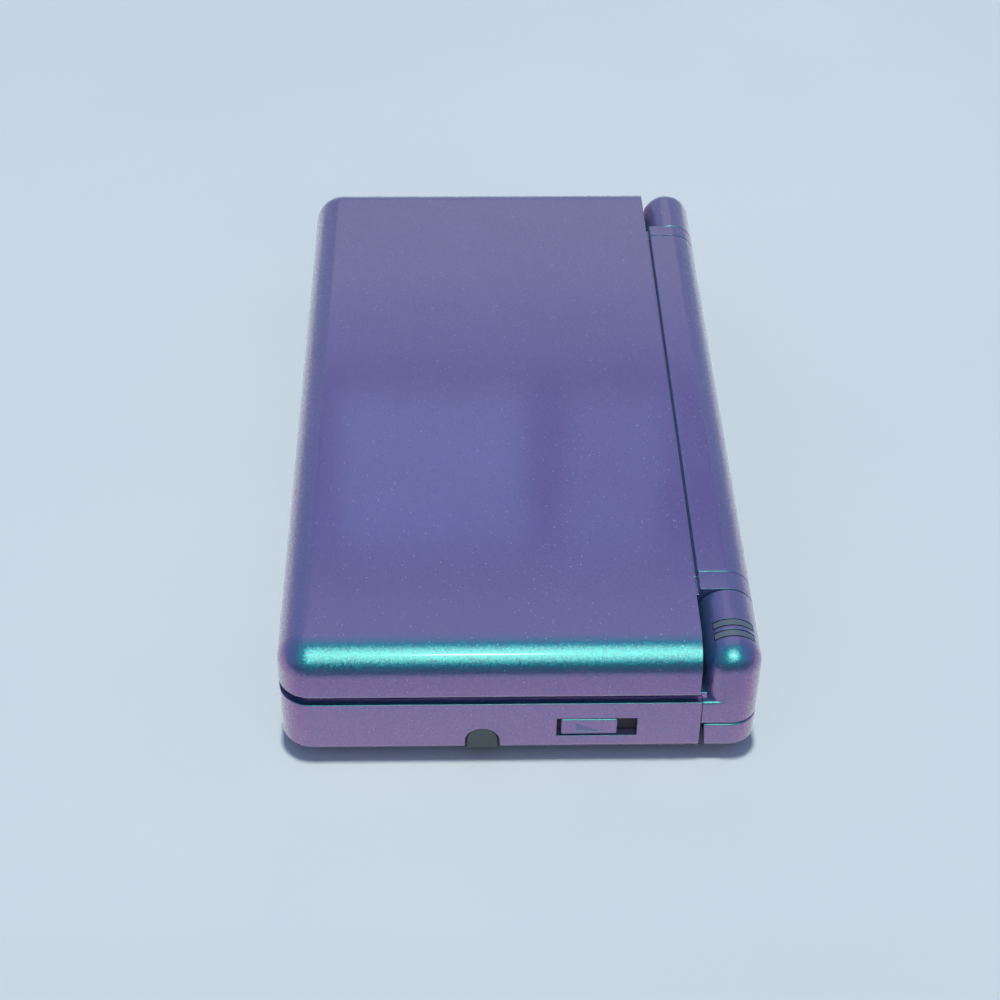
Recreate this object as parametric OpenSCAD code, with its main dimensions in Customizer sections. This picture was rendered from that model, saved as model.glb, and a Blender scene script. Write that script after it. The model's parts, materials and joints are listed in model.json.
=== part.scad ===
// Clamshell handheld game console, closed, standing on its feet. Millimetres.
// X runs to the player's right, Y to the hinge at the back, Z up.
// The origin is under the middle of the closed case, on the table.

/* [Case] */
// Width of the closed case
case_w = 133; // [132:0.5:136]
// Depth of the closed case, front edge to the back of the hinge
case_d = 73.9; // [73.5:0.1:75]
// Height of the control face above the table
face_z = 11.5; // [11.5:0.1:12]
// Thickness of the lid
lid_h = 9.4; // [9.2:0.1:10]
// Gap between the control face and the rim of the closed lid
lid_gap = 0.6; // [0.5:0.05:0.9]
// Corner radius at the front, seen from above
front_corner_r = 5.2; // [4.5:0.1:6]
// Corner radius at the back, seen from above
back_corner_r = 4.2; // [3.8:0.1:4.6]
// Radius along the top edge of the lid
lid_edge_r = 5; // [4:0.1:5.1]
// Radius along the bottom edge of the base
base_edge_r = 1.5; // [1:0.1:1.8]
// Small radius along the edges that meet where the case closes
seam_edge_r = 0.6; // [0.3:0.1:0.7]

/* [Walls] */
// Side walls of all shells
wall_t = 1.4; // [1.2:0.05:1.6]
// Floor of the base
floor_t = 1.2; // [1:0.05:1.3]
// Control face
face_t = 1.2; // [1:0.05:1.3]
// Top of the lid
lid_top_t = 1.2; // [1:0.05:1.4]
// Screen bezel in the lid
bezel_t = 1.4; // [1.2:0.05:1.5]
// How far the bezel lies inside the rim of the lid
bezel_inset = 0.6; // [0.5:0.05:0.8]
// Inner ribs
rib_t = 0.8; // [0.7:0.05:1]
// Gap between a shell and what is seated in it
seat_gap = 0.1; // [0.05:0.01:0.15]

/* [Hinge] */
// Radius of the hinge barrel and knuckles
barrel_r = 4.5; // [4.3:0.05:4.6]
// Gap between the barrel and the control face
barrel_gap = 0.4; // [0.35:0.05:0.6]
// Gap between the back edge of the lid and the hinge
groove_w = 0.7; // [0.6:0.05:0.9]
// Length of the right knuckle
right_knuckle_len = 14.7; // [14.5:0.1:16]
// Length of the left knuckle
left_knuckle_len = 13.8; // [13:0.1:15]
// Radius on the outer end of a knuckle
knuckle_end_r = 3.9; // [3.5:0.1:4.2]
// Width of the right bearing ring
right_ring_w = 3.95; // [3.5:0.05:4.5]
// Width of the left bearing ring
left_ring_w = 3.2; // [2.8:0.05:3.6]
// Gap between the faces that turn past each other
hinge_side_gap = 0.1; // [0.08:0.01:0.15]
// Outer radius of the hinge journal and the detent cartridge
journal_r = 3; // [2.8:0.05:3.1]
// Running clearance of shafts and pins, on the radius
running_gap = 0.05; // [0.03:0.01:0.07]
// Side of the square key of the detent cam
cam_key = 4.2; // [4:0.1:4.2]
// Opening angle, for a look at the open console
lid_angle = 0; // [0:5:180]

/* [Screens] */
// Side of the case to the screen window
window_side = 35.5; // [35:0.25:36.5]
// Front of the case to the lower screen window
window_front = 9.95; // [9.5:0.05:10.5]
// Lower screen window to the middle of the hinge
window_back = 12.45; // [12:0.05:13]
// How far the upper screen, with the lid closed, lies in front of the lower one
screen_shift = 1; // [0:0.1:2]
// Border of a screen behind its window
screen_border = 3; // [2.5:0.1:3.2]
// Thickness of the lower screen
lower_screen_t = 1.8; // [1.7:0.05:1.9]
// Thickness of the touch panel
touch_t = 0.7; // [0.6:0.05:0.8]
// Thickness of the upper screen
upper_screen_t = 2.5; // [2.2:0.1:2.8]
// Thickness of the clear lens over the upper screen
lens_t = 0.7; // [0.6:0.05:0.75]

/* [Board] */
// Height of the underside of the main board
board_z = 5.4; // [5.4:0.05:5.5]
// Thickness of the main board
board_t = 1; // [0.8:0.05:1.05]
// Gap from the board's edge to what passes through or beside it
board_gap = 0.35; // [0.3:0.05:0.45]

/* [Controls] */
// Centre of the direction pad, in from the side of the case
dpad_side = 17.5; // [17:0.1:18]
// Centre of the direction pad, from the back of the case
dpad_back = 32.95; // [32:0.05:34]
// Span of the direction pad's cross
dpad_span = 20; // [18:0.1:20.4]
// Width of an arm of the cross
dpad_arm_w = 6.8; // [6:0.1:7.4]
// How far the direction pad stands above the control face
dpad_rise = 0.4; // [0.2:0.05:0.45]
// Centre of the action buttons, in from the side of the case
action_side = 17.5; // [17.3:0.1:17.7]
// Centre of the action buttons, from the back of the case
action_back = 30.95; // [30.5:0.05:32]
// Distance from that centre to each action button
action_pitch = 8.2; // [8:0.1:8.4]
// Radius of an action button
action_r = 3.5; // [3.2:0.05:3.6]
// How far an action button stands above the control face
action_rise = 0.5; // [0.3:0.05:0.55]
// Press travel of an action button
action_travel = 0.8; // [0.6:0.05:0.9]
// Start and select buttons, in from the side of the case
menu_side = 22.5; // [22:0.1:23]
// Start button, in front of the centre of the action buttons
start_ahead = 20.5; // [20:0.1:21]
// Select button, in front of the centre of the action buttons
select_ahead = 27.5; // [27:0.1:28]
// Radius of the start and select buttons
menu_r = 1.8; // [1.6:0.05:2]
// Gap round each button in its hole
button_gap = 0.15; // [0.1:0.01:0.2]

/* [Side switches] */
// Length of the power switch's slot
power_slot_len = 12.3; // [12:0.1:12.6]
// Height of the power switch's slot
power_slot_h = 3.5; // [3.2:0.1:3.7]
// Middle of that slot, from the back of the case
power_slot_back = 24.95; // [24.5:0.05:25.4]
// Middle of that slot above the table
power_slot_z = 5.65; // [5.5:0.05:5.8]
// Length of the power switch's knob
power_knob_len = 8.8; // [8.4:0.1:9]
// Travel of the power switch
power_travel = 2.5; // [2.2:0.1:2.6]
// Middle of the volume slider, in from the side of the case
volume_side = 19.5; // [18.5:0.1:20.5]
// Travel of the volume slider to each side
volume_travel = 4; // [3.5:0.1:4.2]
// Height of the volume slider's slot
volume_slot_h = 1.6; // [1.4:0.1:1.8]

/* [Shoulder buttons] */
// Width of a shoulder button along the back
shoulder_w = 22.1; // [21.5:0.1:22.5]
// Height of the seam above a shoulder button
shoulder_z = 6.4; // [6.3:0.05:6.5]
// Seam in front of a shoulder button, from the back of the case
shoulder_d = 9; // [8.9:0.05:9.2]
// Gap above a shoulder button
shoulder_gap = 0.35; // [0.3:0.05:0.45]
// Gap in front of a shoulder button at its top
shoulder_front_gap = 0.6; // [0.58:0.01:0.7]
// Radius of the shoulder button's pivot pin
pin_r = 0.75; // [0.6:0.05:0.9]

/* [Stylus] */
// Length of the stylus
stylus_len = 87.5; // [85:0.5:88]
// Radius of the stylus barrel
stylus_r = 1.85; // [1.7:0.05:1.9]
// Width of the cap at the end of the stylus
stylus_cap_w = 4.9; // [4.5:0.1:5]
// Middle of the stylus, from the front of the case
stylus_front = 31.25; // [31.15:0.05:31.35]

/* [Slots] */
// Clear width of the front cartridge slot
cart_w = 58.5; // [57.5:0.1:59]
// Depth of the front cartridge slot
cart_d = 24; // [22:0.1:24.2]
// Clear height of the front cartridge slot
cart_h = 5.9; // [5.6:0.05:6]
// Clear width of the game card slot at the back
card_w = 33.6; // [33.4:0.1:33.8]
// Clear height of the game card slot
card_h = 4.5; // [4.3:0.05:4.6]
// Depth of the game card slot
card_d = 28; // [26:0.1:28.5]
// Middle of the game card slot, in from the side of the case
card_side = 48.4; // [48.3:0.1:48.6]
// Middle of the headphone jack, in from the side of the case
jack_side = 19.5; // [19:0.1:20]
// Radius of the headphone jack's bore
jack_bore_r = 1.75; // [1.7:0.01:1.8]
// Depth of the headphone jack's bore
jack_bore_d = 11; // [10:0.1:11.2]
// Middle of the charging socket, in from the side of the case
socket_side = 44.5; // [43:0.5:46]

/* [Battery] */
// Side of the case to the battery
battery_side = 25.45; // [25.4:0.05:27.5]
// Back of the battery to the back of the case
battery_back = 10.15; // [9.65:0.05:12]
// Thickness of the battery
battery_t = 5.2; // [4.8:0.1:5.4]

/* [Small parts] */
// Height of the rubber feet below the base
foot_h = 0.7; // [0.5:0.05:0.8]
// Radius of a rubber foot
foot_r = 2.6; // [2:0.1:3]
// Radius of a screw's head
screw_head_r = 1.55; // [1.4:0.05:1.6]
// Radius of a screw's shank
screw_r = 0.65; // [0.6:0.05:0.7]
// Radius of a screw boss
boss_r = 2.2; // [2:0.05:2.25]
// Radius of a speaker
speaker_r = 7.2; // [6.5:0.1:7.5]
// Width of each light window in the right knuckle
light_w = 1.15; // [1:0.05:1.3]
// Spacing of the two light windows
light_pitch = 2.35; // [2.2:0.05:2.5]

/* [Hidden] */
$fn = 96;
eps = 0.01;
far = 200;

half_w = case_w / 2;
half_d = case_d / 2;
base_z = foot_h;
floor_z = base_z + floor_t;
rim_z = face_z - 0.3;
face_under = face_z - face_t;
lid_z = face_z + lid_gap;
lid_top = lid_z + lid_h;
hinge_y = half_d - barrel_r;
hinge_z = face_z + barrel_gap + barrel_r;
lid_back = hinge_y - barrel_r - groove_w / 2 - 0.1;
inner_x = half_w - wall_t;
inner_y = half_d - wall_t;
dpad_x = half_w - dpad_side;
action_x = half_w - action_side;
dpad_y = half_d - dpad_back;
action_y = half_d - action_back;
menu_x = half_w - menu_side;
start_y = action_y - start_ahead;
select_y = action_y - select_ahead;
volume_x = half_w - volume_side;
jack_x = half_w - jack_side;
card_x = half_w - card_side;
socket_x = half_w - socket_side;
window_w = case_w - 2 * window_side;
window_d = half_d + hinge_y - window_front - window_back;
lower_screen_y = (hinge_y - half_d + window_front - window_back) / 2;
upper_screen_y = lower_screen_y - screen_shift;

right_knuckle_x = half_w - right_knuckle_len;
left_knuckle_x = -half_w + left_knuckle_len;
right_ring_x = right_knuckle_x - hinge_side_gap - right_ring_w;
left_ring_x = left_knuckle_x + hinge_side_gap;
barrel_x0 = left_ring_x + left_ring_w + hinge_side_gap;
barrel_x1 = right_ring_x - hinge_side_gap;
bore_r = journal_r + running_gap;
bore_end = half_w - 3.1;
web_top = hinge_z + 3.3;

board_top = board_z + board_t;
pad_z = board_top;
pad_t = 0.6;
bezel_z = lid_z + bezel_inset;
bezel_top = bezel_z + bezel_t;

screen_w = window_w + 2 * screen_border + 1;
screen_d = window_d + 2 * screen_border;
touch_z = face_under - 0.05 - touch_t;
lower_screen_z = touch_z - lower_screen_t;

power_slot_y = half_d - power_slot_back;
shoulder_x = half_w - shoulder_w;
shoulder_y = half_d - shoulder_d;
pivot_x = shoulder_x - 2.4;
pivot_y = half_d - 3.95;
hub_z = base_z + 1.7;
hub_h = 2;
hub_r = 1.95;

stylus_y = -half_d + stylus_front;
stylus_z = base_z + 0.6 + stylus_r;
stylus_gap = 0.25;
cap_len = 6.2;
speaker_x = half_w - 16.5;
pivot_ball_r = 1.5;
pivot_z = pad_z + pivot_ball_r + 0.03;
dpad_flange_z = pivot_z + 0.55;
volume_z = floor_z + 2.1;
socket_z = floor_z + 0.25;
ribbon_x = right_knuckle_x + 8.9;
ribbon_z = board_top + 1.6;
cart_z = base_z + 0.8;
cart_back = -half_d + cart_d;
cart_wall = 1.2;
cage_t = 0.5;
card_z = floor_z + seat_gap + cage_t;
card_front = half_d - card_d;
jack_z = floor_z + 2.8;
jack_r = 2.5;
jack_body_w = 6.4;
jack_body_d = jack_bore_d - wall_t + 0.8;
battery_z = floor_z;
battery_rib = 1.2;
battery_gap = 0.2;
battery_end_x = card_x - card_w / 2 - cage_t - 0.45 - battery_rib - battery_gap;
battery_w = battery_end_x + half_w - battery_side;
battery_x = battery_end_x - battery_w / 2;
battery_front_y = stylus_y + stylus_r + stylus_gap + battery_rib + battery_gap;
battery_d = half_d - battery_back - battery_front_y;
battery_y = battery_front_y + battery_d / 2;
cover_tab_x = battery_x - battery_w / 2 - battery_gap - 2.8;
cover_tab_r = 2.6;

ribbon_leg_x = right_knuckle_x + 1.2;
ribbon_flat = [screen_w / 2 - 10.5, screen_w / 2 - 1.5];
light_x = right_knuckle_x + 6.75;
shoulder_arm_x = shoulder_x + 11.6;

base_boss_x = inner_x - 4.3;
base_boss_y = [-inner_y + 4.15, shoulder_y - 3.35];
lid_boss_x = inner_x - 7.1;
lid_boss_y = [-inner_y + 5.55, lid_back - 7.5];
base_boss = [for (y = base_boss_y, s = [1, -1]) [s * base_boss_x, y],
    [-shoulder_x + 10.4, inner_y - 2.55]];
lid_boss = [for (y = lid_boss_y, s = [1, -1]) [s * lid_boss_x, y]];
feet = [for (s = [1, -1]) [s * (pivot_x - 2.4), pivot_y - 1.8],
    for (s = [1, -1]) [s * (inner_x - 9.1), -inner_y + 9.55]];
action_at = [[1, 0], [0, -1], [0, 1], [-1, 0]];

// ---- shapes that repeat ----

// Block between two corners
module block(x, y, z) {
    translate([x[0], y[0], z[0]]) cube([x[1] - x[0], y[1] - y[0], z[1] - z[0]]);
}

// Upright cylinder between two heights
module post(at, r, z) {
    translate([at[0], at[1], z[0]]) cylinder(r = r, h = z[1] - z[0]);
}

// Cylinder along X on the hinge axis
module on_axis(r, x) {
    translate([x[0], hinge_y, hinge_z]) rotate([0, 90, 0]) cylinder(r = r, h = x[1] - x[0]);
}

// Half section of a slab: outer face at x = 0, inside negative, both outer edges rounded
module slab_section(z, low_r, top_r) {
    deep = 30;
    difference() {
        translate([-deep, z[0]]) square([deep, z[1] - z[0]]);
        translate([-low_r, z[0] + low_r]) difference() {
            translate([0, -low_r - 1]) square([low_r + 1, low_r + 1]);
            circle(r = low_r);
        }
        translate([-top_r, z[1] - top_r]) difference() {
            square([top_r + 1, top_r + 1]);
            circle(r = top_r);
        }
    }
}

// Keeps the part of a section within d of the outer face
module edge_strip(d) {
    intersection() {
        children();
        translate([-d, -1]) square([d, far]);
    }
}

// A quarter turn of the section about an upright axis, quarter q counted from the +X, +Y corner
module corner_turn(at, r, q) {
    translate([at[0], at[1], 0]) rotate([0, 0, 90 * q]) rotate_extrude(angle = 90)
        intersection() {
            translate([r, 0]) children();
            square([far, far]);
        }
}

// A straight run of the section: outer face at +X, from y[0] to y[1]
module straight_run(x, y, d) {
    translate([x, y[1], 0]) rotate([90, 0, 0])
        linear_extrude(y[1] - y[0]) edge_strip(d) children();
}

// The section carried round the front of the case and along both sides to y_end
module front_sweep(y_end) {
    r = front_corner_r;
    for (s = [0, 1]) mirror([s, 0, 0]) {
        corner_turn([half_w - r, -half_d + r], r, 3) children();
        straight_run(half_w, [-half_d + r, y_end], r) children();
    }
    rotate([0, 0, -90]) straight_run(half_d, [-half_w + r, half_w - r], r) children();
}

// The section carried round the right back corner of the case, from [x0, y0]
module back_corner(x0, y0) {
    r = back_corner_r;
    corner_turn([half_w - r, half_d - r], r, 0) children();
    straight_run(half_w, [y0, half_d - r], r) children();
    rotate([0, 0, 90]) straight_run(half_d, [-half_w + r, -x0], r) children();
}

// Rounded rectangle with its own radius at the front and at the back
module plan(x, y, rf, rb) {
    translate([x[0], y[0] + rf]) square([x[1] - x[0], y[1] - rb - y[0] - rf]);
    translate([x[0] + rf, y[0]]) square([x[1] - x[0] - 2 * rf, y[1] - y[0] - rb]);
    translate([x[0] + rb, y[0] + rf]) square([x[1] - x[0] - 2 * rb, y[1] - y[0] - rf]);
    for (px = [x[0] + rf, x[1] - rf]) translate([px, y[0] + rf]) circle(r = rf);
    for (px = [x[0] + rb, x[1] - rb]) translate([px, y[1] - rb]) circle(r = rb);
}

// Screw with its head down
module screw(at, z_head, head_h, z_tip) {
    difference() {
        post(at, screw_head_r, [z_head, z_head + head_h]);
        block([at[0] - 1, at[0] + 1], [at[1] - 0.15, at[1] + 0.15], [z_head - 1, z_head + 0.25]);
        block([at[0] - 0.15, at[0] + 0.15], [at[1] - 1, at[1] + 1], [z_head - 1, z_head + 0.25]);
    }
    post(at, screw_r, [z_head + head_h - eps, z_tip]);
}

// Turns the lid's pieces to the opening angle
module in_lid() {
    translate([0, hinge_y, hinge_z]) rotate([-lid_angle, 0, 0])
        translate([0, -hinge_y, -hinge_z]) children();
}

// ---- base shells ----

module base_section() {
    difference() {
        slab_section([base_z, rim_z], base_edge_r, 0.5);
        translate([-far, floor_z]) square([far - wall_t, far]);
    }
}

// Outer walls and floor, back corners left out for the shoulder buttons
module base_tray() {
    front_sweep(shoulder_y) base_section();
    block([-half_w + front_corner_r, half_w - front_corner_r],
        [-half_d + front_corner_r, shoulder_y], [base_z, floor_z]);
    rotate([0, 0, 90]) straight_run(half_d, [-shoulder_x + 0.3, shoulder_x - 0.3], shoulder_d)
        base_section();
}

module stylus_channel() {
    y0 = stylus_y - stylus_r - stylus_gap;
    y1 = stylus_y + stylus_r + stylus_gap;
    x0 = half_w - stylus_len - 0.6;
    x1 = half_w - cap_len - 0.8;
    for (y = [y0 - rib_t, y1]) block([x0, x1], [y, y + rib_t], [floor_z - 0.2, board_z - 0.05]);
    block([x0 - rib_t, x0], [y0 - rib_t, y1 + rib_t], [floor_z - 0.2, board_z - 0.05]);
}

module stylus_hole() {
    y0 = stylus_y - stylus_r - stylus_gap;
    y1 = stylus_y + stylus_r + stylus_gap;
    cap_r = stylus_cap_w / 2 + 0.13;
    block([half_w - stylus_len - 0.6, half_w + 1], [y0, y1], [base_z + 0.5, floor_z + 0.5]);
    translate([half_w - cap_len - 0.4, 0, 0]) {
        translate([0, stylus_y, stylus_z - 0.35]) rotate([0, 90, 0])
            cylinder(r = cap_r, h = cap_len + 1);
        block([0, cap_len + 1], [stylus_y - cap_r, stylus_y + cap_r], [0, stylus_z - 0.35]);
    }
}

module cart_walls() {
    for (s = [-1, 1]) {
        x = s * (cart_w + cart_wall) / 2;
        block([x - cart_wall / 2, x + cart_wall / 2], [-half_d + wall_t - 0.2, cart_back],
            [floor_z - 0.2, cart_z + cart_h]);
    }
}

module battery_ribs() {
    x0 = battery_x - battery_w / 2 - battery_gap;
    x1 = battery_x + battery_w / 2 + battery_gap;
    y0 = battery_y - battery_d / 2 - battery_gap;
    y1 = battery_y + battery_d / 2 + battery_gap;
    difference() {
        block([x0 - battery_rib, x1 + battery_rib], [y0 - battery_rib, y1 + battery_rib],
            [floor_z - 0.3, battery_z + battery_t]);
        block([x0, x1], [y0, y1], [0, far]);
    }
}

// Plan of the battery's cover, grown by g
module cover_plan(g) {
    e = battery_gap + 0.6 + g;
    translate([battery_x - battery_w / 2 - e, battery_y - battery_d / 2 - e])
        square([battery_w + 2 * e, battery_d + 2 * e]);
    translate([cover_tab_x, battery_y]) circle(r = cover_tab_r + g);
}

module power_rails() {
    flange = power_slot_h / 2 + 0.7 + seat_gap;
    for (z = [power_slot_z - flange - 0.5, power_slot_z + flange])
        block([inner_x - 2, inner_x + 0.2], [power_slot_y - 9.6, power_slot_y + 9.1 + power_travel], [z, z + 0.5]);
}

module shoulder_frame() {
    post([pivot_x, pivot_y], hub_r, [floor_z - 0.2, hub_z - seat_gap]);
    block([shoulder_x + 2.5, inner_x + 0.2], [shoulder_y - rib_t - 0.1, shoulder_y],
        [floor_z - 0.2, board_z - seat_gap]);
}

module base_lower_shell() {
    color("#7a6a9c") difference() {
        union() {
            base_tray();
            stylus_channel();
            cart_walls();
            battery_ribs();
            power_rails();
            for (s = [0, 1]) mirror([s, 0, 0]) shoulder_frame();
            for (p = base_boss) post(p, boss_r + 0.2, [floor_z - 0.2, floor_z + 0.6]);
            post([cover_tab_x, battery_y], boss_r, [floor_z - 0.1, board_z - 0.2]);
            block([cover_tab_x - 4.5, cover_tab_x], [battery_y - rib_t, battery_y + rib_t],
                [floor_z - 0.1, board_z - 0.2]);
        }
        stylus_hole();
        block([-cart_w / 2, cart_w / 2], [-half_d - 1, cart_back], [cart_z, cart_z + cart_h]);
        translate([0, 0, -1]) linear_extrude(floor_z + 0.9) cover_plan(0.15);
        post([cover_tab_x, battery_y], screw_r + 0.03, [0, board_z - 0.5]);
        for (p = base_boss) {
            post(p, screw_head_r + 0.2, [0, base_z + 1]);
            post(p, screw_r + 0.2, [0, floor_z + 1]);
        }
        for (p = feet) post(p, foot_r + 0.05, [0, base_z + 0.4]);
        for (s = [-1, 1]) {
            post([s * pivot_x, pivot_y], pin_r + 0.03, [base_z + 0.8, far]);
            block([s * shoulder_arm_x - 1.2, s * shoulder_arm_x + 1.2], [shoulder_y - 3, shoulder_y + 1],
                [base_z + 1.9, base_z + 3.9]);
        }
        block([inner_x - 1, half_w + 1],
            [power_slot_y - power_slot_len / 2, power_slot_y + power_slot_len / 2],
            [power_slot_z - power_slot_h / 2, power_slot_z + power_slot_h / 2]);
        block([-volume_x - volume_travel - 2, -volume_x + volume_travel + 2],
            [-half_d - 1, -inner_y + 0.2],
            [volume_z - volume_slot_h / 2, volume_z + volume_slot_h / 2]);
        translate([jack_x, -inner_y + 1, jack_z]) rotate([90, 0, 0])
            cylinder(r = jack_r + 0.05, h = wall_t + 2);
        block([card_x - card_w / 2, card_x + card_w / 2], [inner_y - 1, half_d + 1],
            [card_z, card_z + card_h]);
        block([-socket_x - 3.2, -socket_x + 3.2], [inner_y - 1, half_d + 1],
            [socket_z + 0.6, socket_z + 2.6]);
    }
}

// Wall of the back corner above a shoulder button
module corner_band() {
    top = rim_z - 0.3;
    back_corner(shoulder_x - 0.1, shoulder_y + 0.12) difference() {
        slab_section([shoulder_z, top], 0.1, 0.5);
        translate([-far, 0]) square([far - wall_t, far]);
    }
    block([shoulder_x - 0.1, half_w - back_corner_r], [shoulder_y + 0.12, half_d - back_corner_r],
        [face_under, top]);
    block([half_w - back_corner_r, inner_x + 0.2], [shoulder_y + 0.12, half_d - back_corner_r],
        [face_under, top]);
    block([shoulder_x - 0.1, half_w - back_corner_r], [half_d - back_corner_r, inner_y + 0.2],
        [face_under, top]);
}

// Half outline of a knuckle along X: its length, with a round outer end
module knuckle_outline(x0) {
    r = knuckle_end_r;
    translate([x0, 0]) square([half_w - r - x0, barrel_r]);
    translate([x0, 0]) square([half_w - x0, barrel_r - r]);
    intersection() {
        translate([half_w - r, barrel_r - r]) circle(r = r);
        translate([x0, 0]) square([far, far]);
    }
}

// Turns an outline drawn as [along X, radius] about the hinge axis, from angle a0 through a
module turn_on_axis(a0, a) {
    translate([0, hinge_y, hinge_z]) rotate([a0, 0, 0]) rotate([90, 0, 90])
        rotate_extrude(angle = a) mirror([1, -1]) children();
}

// Knuckle that starts at x0 and ends with the case
module knuckle(x0) {
    translate([0, hinge_y, face_under]) linear_extrude(hinge_z - face_under) {
        knuckle_outline(x0);
        mirror([0, 1]) knuckle_outline(x0);
    }
    turn_on_axis(0, 180) knuckle_outline(x0);
}

module face_holes() {
    block([-window_w / 2, window_w / 2],
        [lower_screen_y - window_d / 2, lower_screen_y + window_d / 2], [face_under - 1, far]);
    for (a = action_at)
        post([action_x + action_pitch * a[0], action_y + action_pitch * a[1]],
            action_r + button_gap, [face_under - 1, face_z + 1]);
    for (y = [start_y, select_y]) post([menu_x, y], menu_r + button_gap, [face_under - 1, face_z + 1]);
    for (q = [0, 90]) translate([-dpad_x, dpad_y, 0]) rotate([0, 0, q])
        block([-dpad_span / 2 - 0.3, dpad_span / 2 + 0.3],
            [-dpad_arm_w / 2 - 0.3, dpad_arm_w / 2 + 0.3], [face_under - 1, face_z + 1]);
}

module screen_frame() {
    x = screen_w / 2 + 0.15;
    y0 = lower_screen_y - screen_d / 2 - 0.15;
    y1 = lower_screen_y + screen_d / 2 + 0.15;
    difference() {
        block([-x - rib_t, x + rib_t], [y0 - rib_t, y1 + rib_t], [lower_screen_z + 0.5, face_under + 0.2]);
        block([-x, x], [y0, y1], [0, far]);
    }
}

// Arc over the top of the right knuckle, i-th window, grown by g, from radius r to the surface
module light_arc(i, g, r) {
    x = light_x + light_pitch * i;
    turn_on_axis(45 - g * 12, 84 + g * 24) translate([x - g, r])
        square([light_w + 2 * g, barrel_r + 3 * g - r]);
}

module base_upper_shell() {
    plate_x = inner_x - seat_gap;
    color("#6f6a9e") difference() {
        union() {
            translate([0, 0, face_under]) linear_extrude(face_t)
                plan([-plate_x, plate_x], [-inner_y + seat_gap, inner_y - seat_gap],
                    front_corner_r - wall_t, back_corner_r - wall_t);
            for (s = [0, 1]) mirror([s, 0, 0]) corner_band();
            knuckle(right_knuckle_x);
            mirror([1, 0, 0]) knuckle(-left_knuckle_x);
            screen_frame();
            for (p = base_boss) post(p, boss_r, [floor_z + 0.65, face_under + 0.2]);
            for (s = [-1, 1]) post([s * pivot_x, pivot_y], 1.8, [board_z + 0.1, face_under + 0.2]);
        }
        face_holes();
        on_axis(bore_r, [right_knuckle_x - 1, bore_end]);
        on_axis(bore_r, [-bore_end, left_knuckle_x + 1]);
        for (p = base_boss) post(p, screw_r + 0.05, [0, face_under - 1]);
        for (s = [-1, 1]) post([s * pivot_x, pivot_y], pin_r + 0.03, [0, board_top + 0.5]);
        block([ribbon_x - 0.4, ribbon_x + 2.4], [hinge_y - 1.2, hinge_y + 1.2],
            [shoulder_z, hinge_z - journal_r + 0.4]);
        for (i = [0, 1]) light_arc(i, 0.08, barrel_r - 1.25);
    }
}

module battery_cover() {
    color("#6f6a9e") difference() {
        translate([0, 0, base_z]) linear_extrude(floor_t - 0.15) cover_plan(0);
        post([cover_tab_x, battery_y], screw_r + 0.15, [0, floor_z]);
        post([cover_tab_x, battery_y], screw_head_r + 0.15, [0, base_z + 0.6]);
        for (i = [-4 : 4]) block([battery_x + 2.4 * i - 0.4, battery_x + 2.4 * i + 0.4],
            [battery_y + 11, battery_y + 14], [0, base_z + 0.3]);
    }
}

module battery_cover_screw() {
    color("#4a4c50") screw([cover_tab_x, battery_y], base_z + 0.05, 0.5, board_z - 1);
}

module rubber_feet() {
    color("#3c3f48") for (p = feet) post(p, foot_r, [0, base_z + 0.38]);
}

module base_screws() {
    color("#4a4c50") for (p = base_boss) screw(p, base_z + 0.35, 0.6, face_under - 2);
}

// ---- inside the base ----

module battery_pack() {
    t = battery_t - 0.15;
    x = battery_w / 2;
    y = battery_d / 2;
    color("#303236") translate([battery_x, battery_y, battery_z]) {
        block([-x, x], [-y, y - 1.2], [0, t]);
        block([-x + 0.8, x - 0.8], [y - 1.3, y], [0.4, t - 0.4]);
    }
}

module board_outline() {
    x0 = battery_x - battery_w / 2 - battery_gap - battery_rib - board_gap;
    x1 = card_x + card_w / 2 + cage_t + board_gap;
    y0 = battery_y - battery_d / 2 - battery_gap - battery_rib - board_gap;
    y1 = battery_y + battery_d / 2 + battery_gap + battery_rib + board_gap;
    x_card = card_x - card_w / 2 - cage_t - board_gap;
    corner = shoulder_y - rib_t - 0.1 - board_gap;
    difference() {
        plan([-inner_x + 0.8, inner_x - 0.8], [-inner_y + 0.7, inner_y - 0.6], 3, 1);
        translate([x0, y0]) square([x_card - x0 + 1, y1 - y0]);
        translate([x_card, card_front - 2.2 - board_gap]) square([x1 - x_card, far]);
        translate([-cart_w / 2 - cart_wall - board_gap, -far])
            square([cart_w + 2 * cart_wall + 2 * board_gap, far + cart_back + 3.4]);
        translate([jack_x - jack_body_w / 2 - board_gap, -far])
            square([jack_body_w + 2 * board_gap, far - inner_y + jack_body_d + board_gap]);
        translate([inner_x - 4.3, power_slot_y - 10.4]) square([far, far]);
        translate([x1 - 1, corner]) square([far, far]);
        translate([-far - shoulder_x + 0.45, corner]) square([far, far]);
        for (s = [-1, 1]) translate([s * pivot_x, pivot_y]) circle(r = 2.1);
        translate([-far - pivot_x, pivot_y]) square([far, far]);
        for (p = base_boss) translate([p[0], p[1]]) circle(r = boss_r + board_gap);
    }
}

module main_board() {
    color("#2f6b46") {
        translate([0, 0, board_z]) linear_extrude(board_t) board_outline();
        block([ribbon_leg_x - 1, ribbon_leg_x + 3], [shoulder_y - 5.35, shoulder_y - 2.55],
            [board_top - eps, ribbon_z - 0.03]);
    }
}

module processor_shield() {
    color("#b9bec4") block([cart_w / 2 + cart_wall + 2.55, inner_x - 5.1],
        [-inner_y + 11.95, stylus_y - 4.2], [board_z - 2.2, board_z - 0.03]);
}

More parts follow.
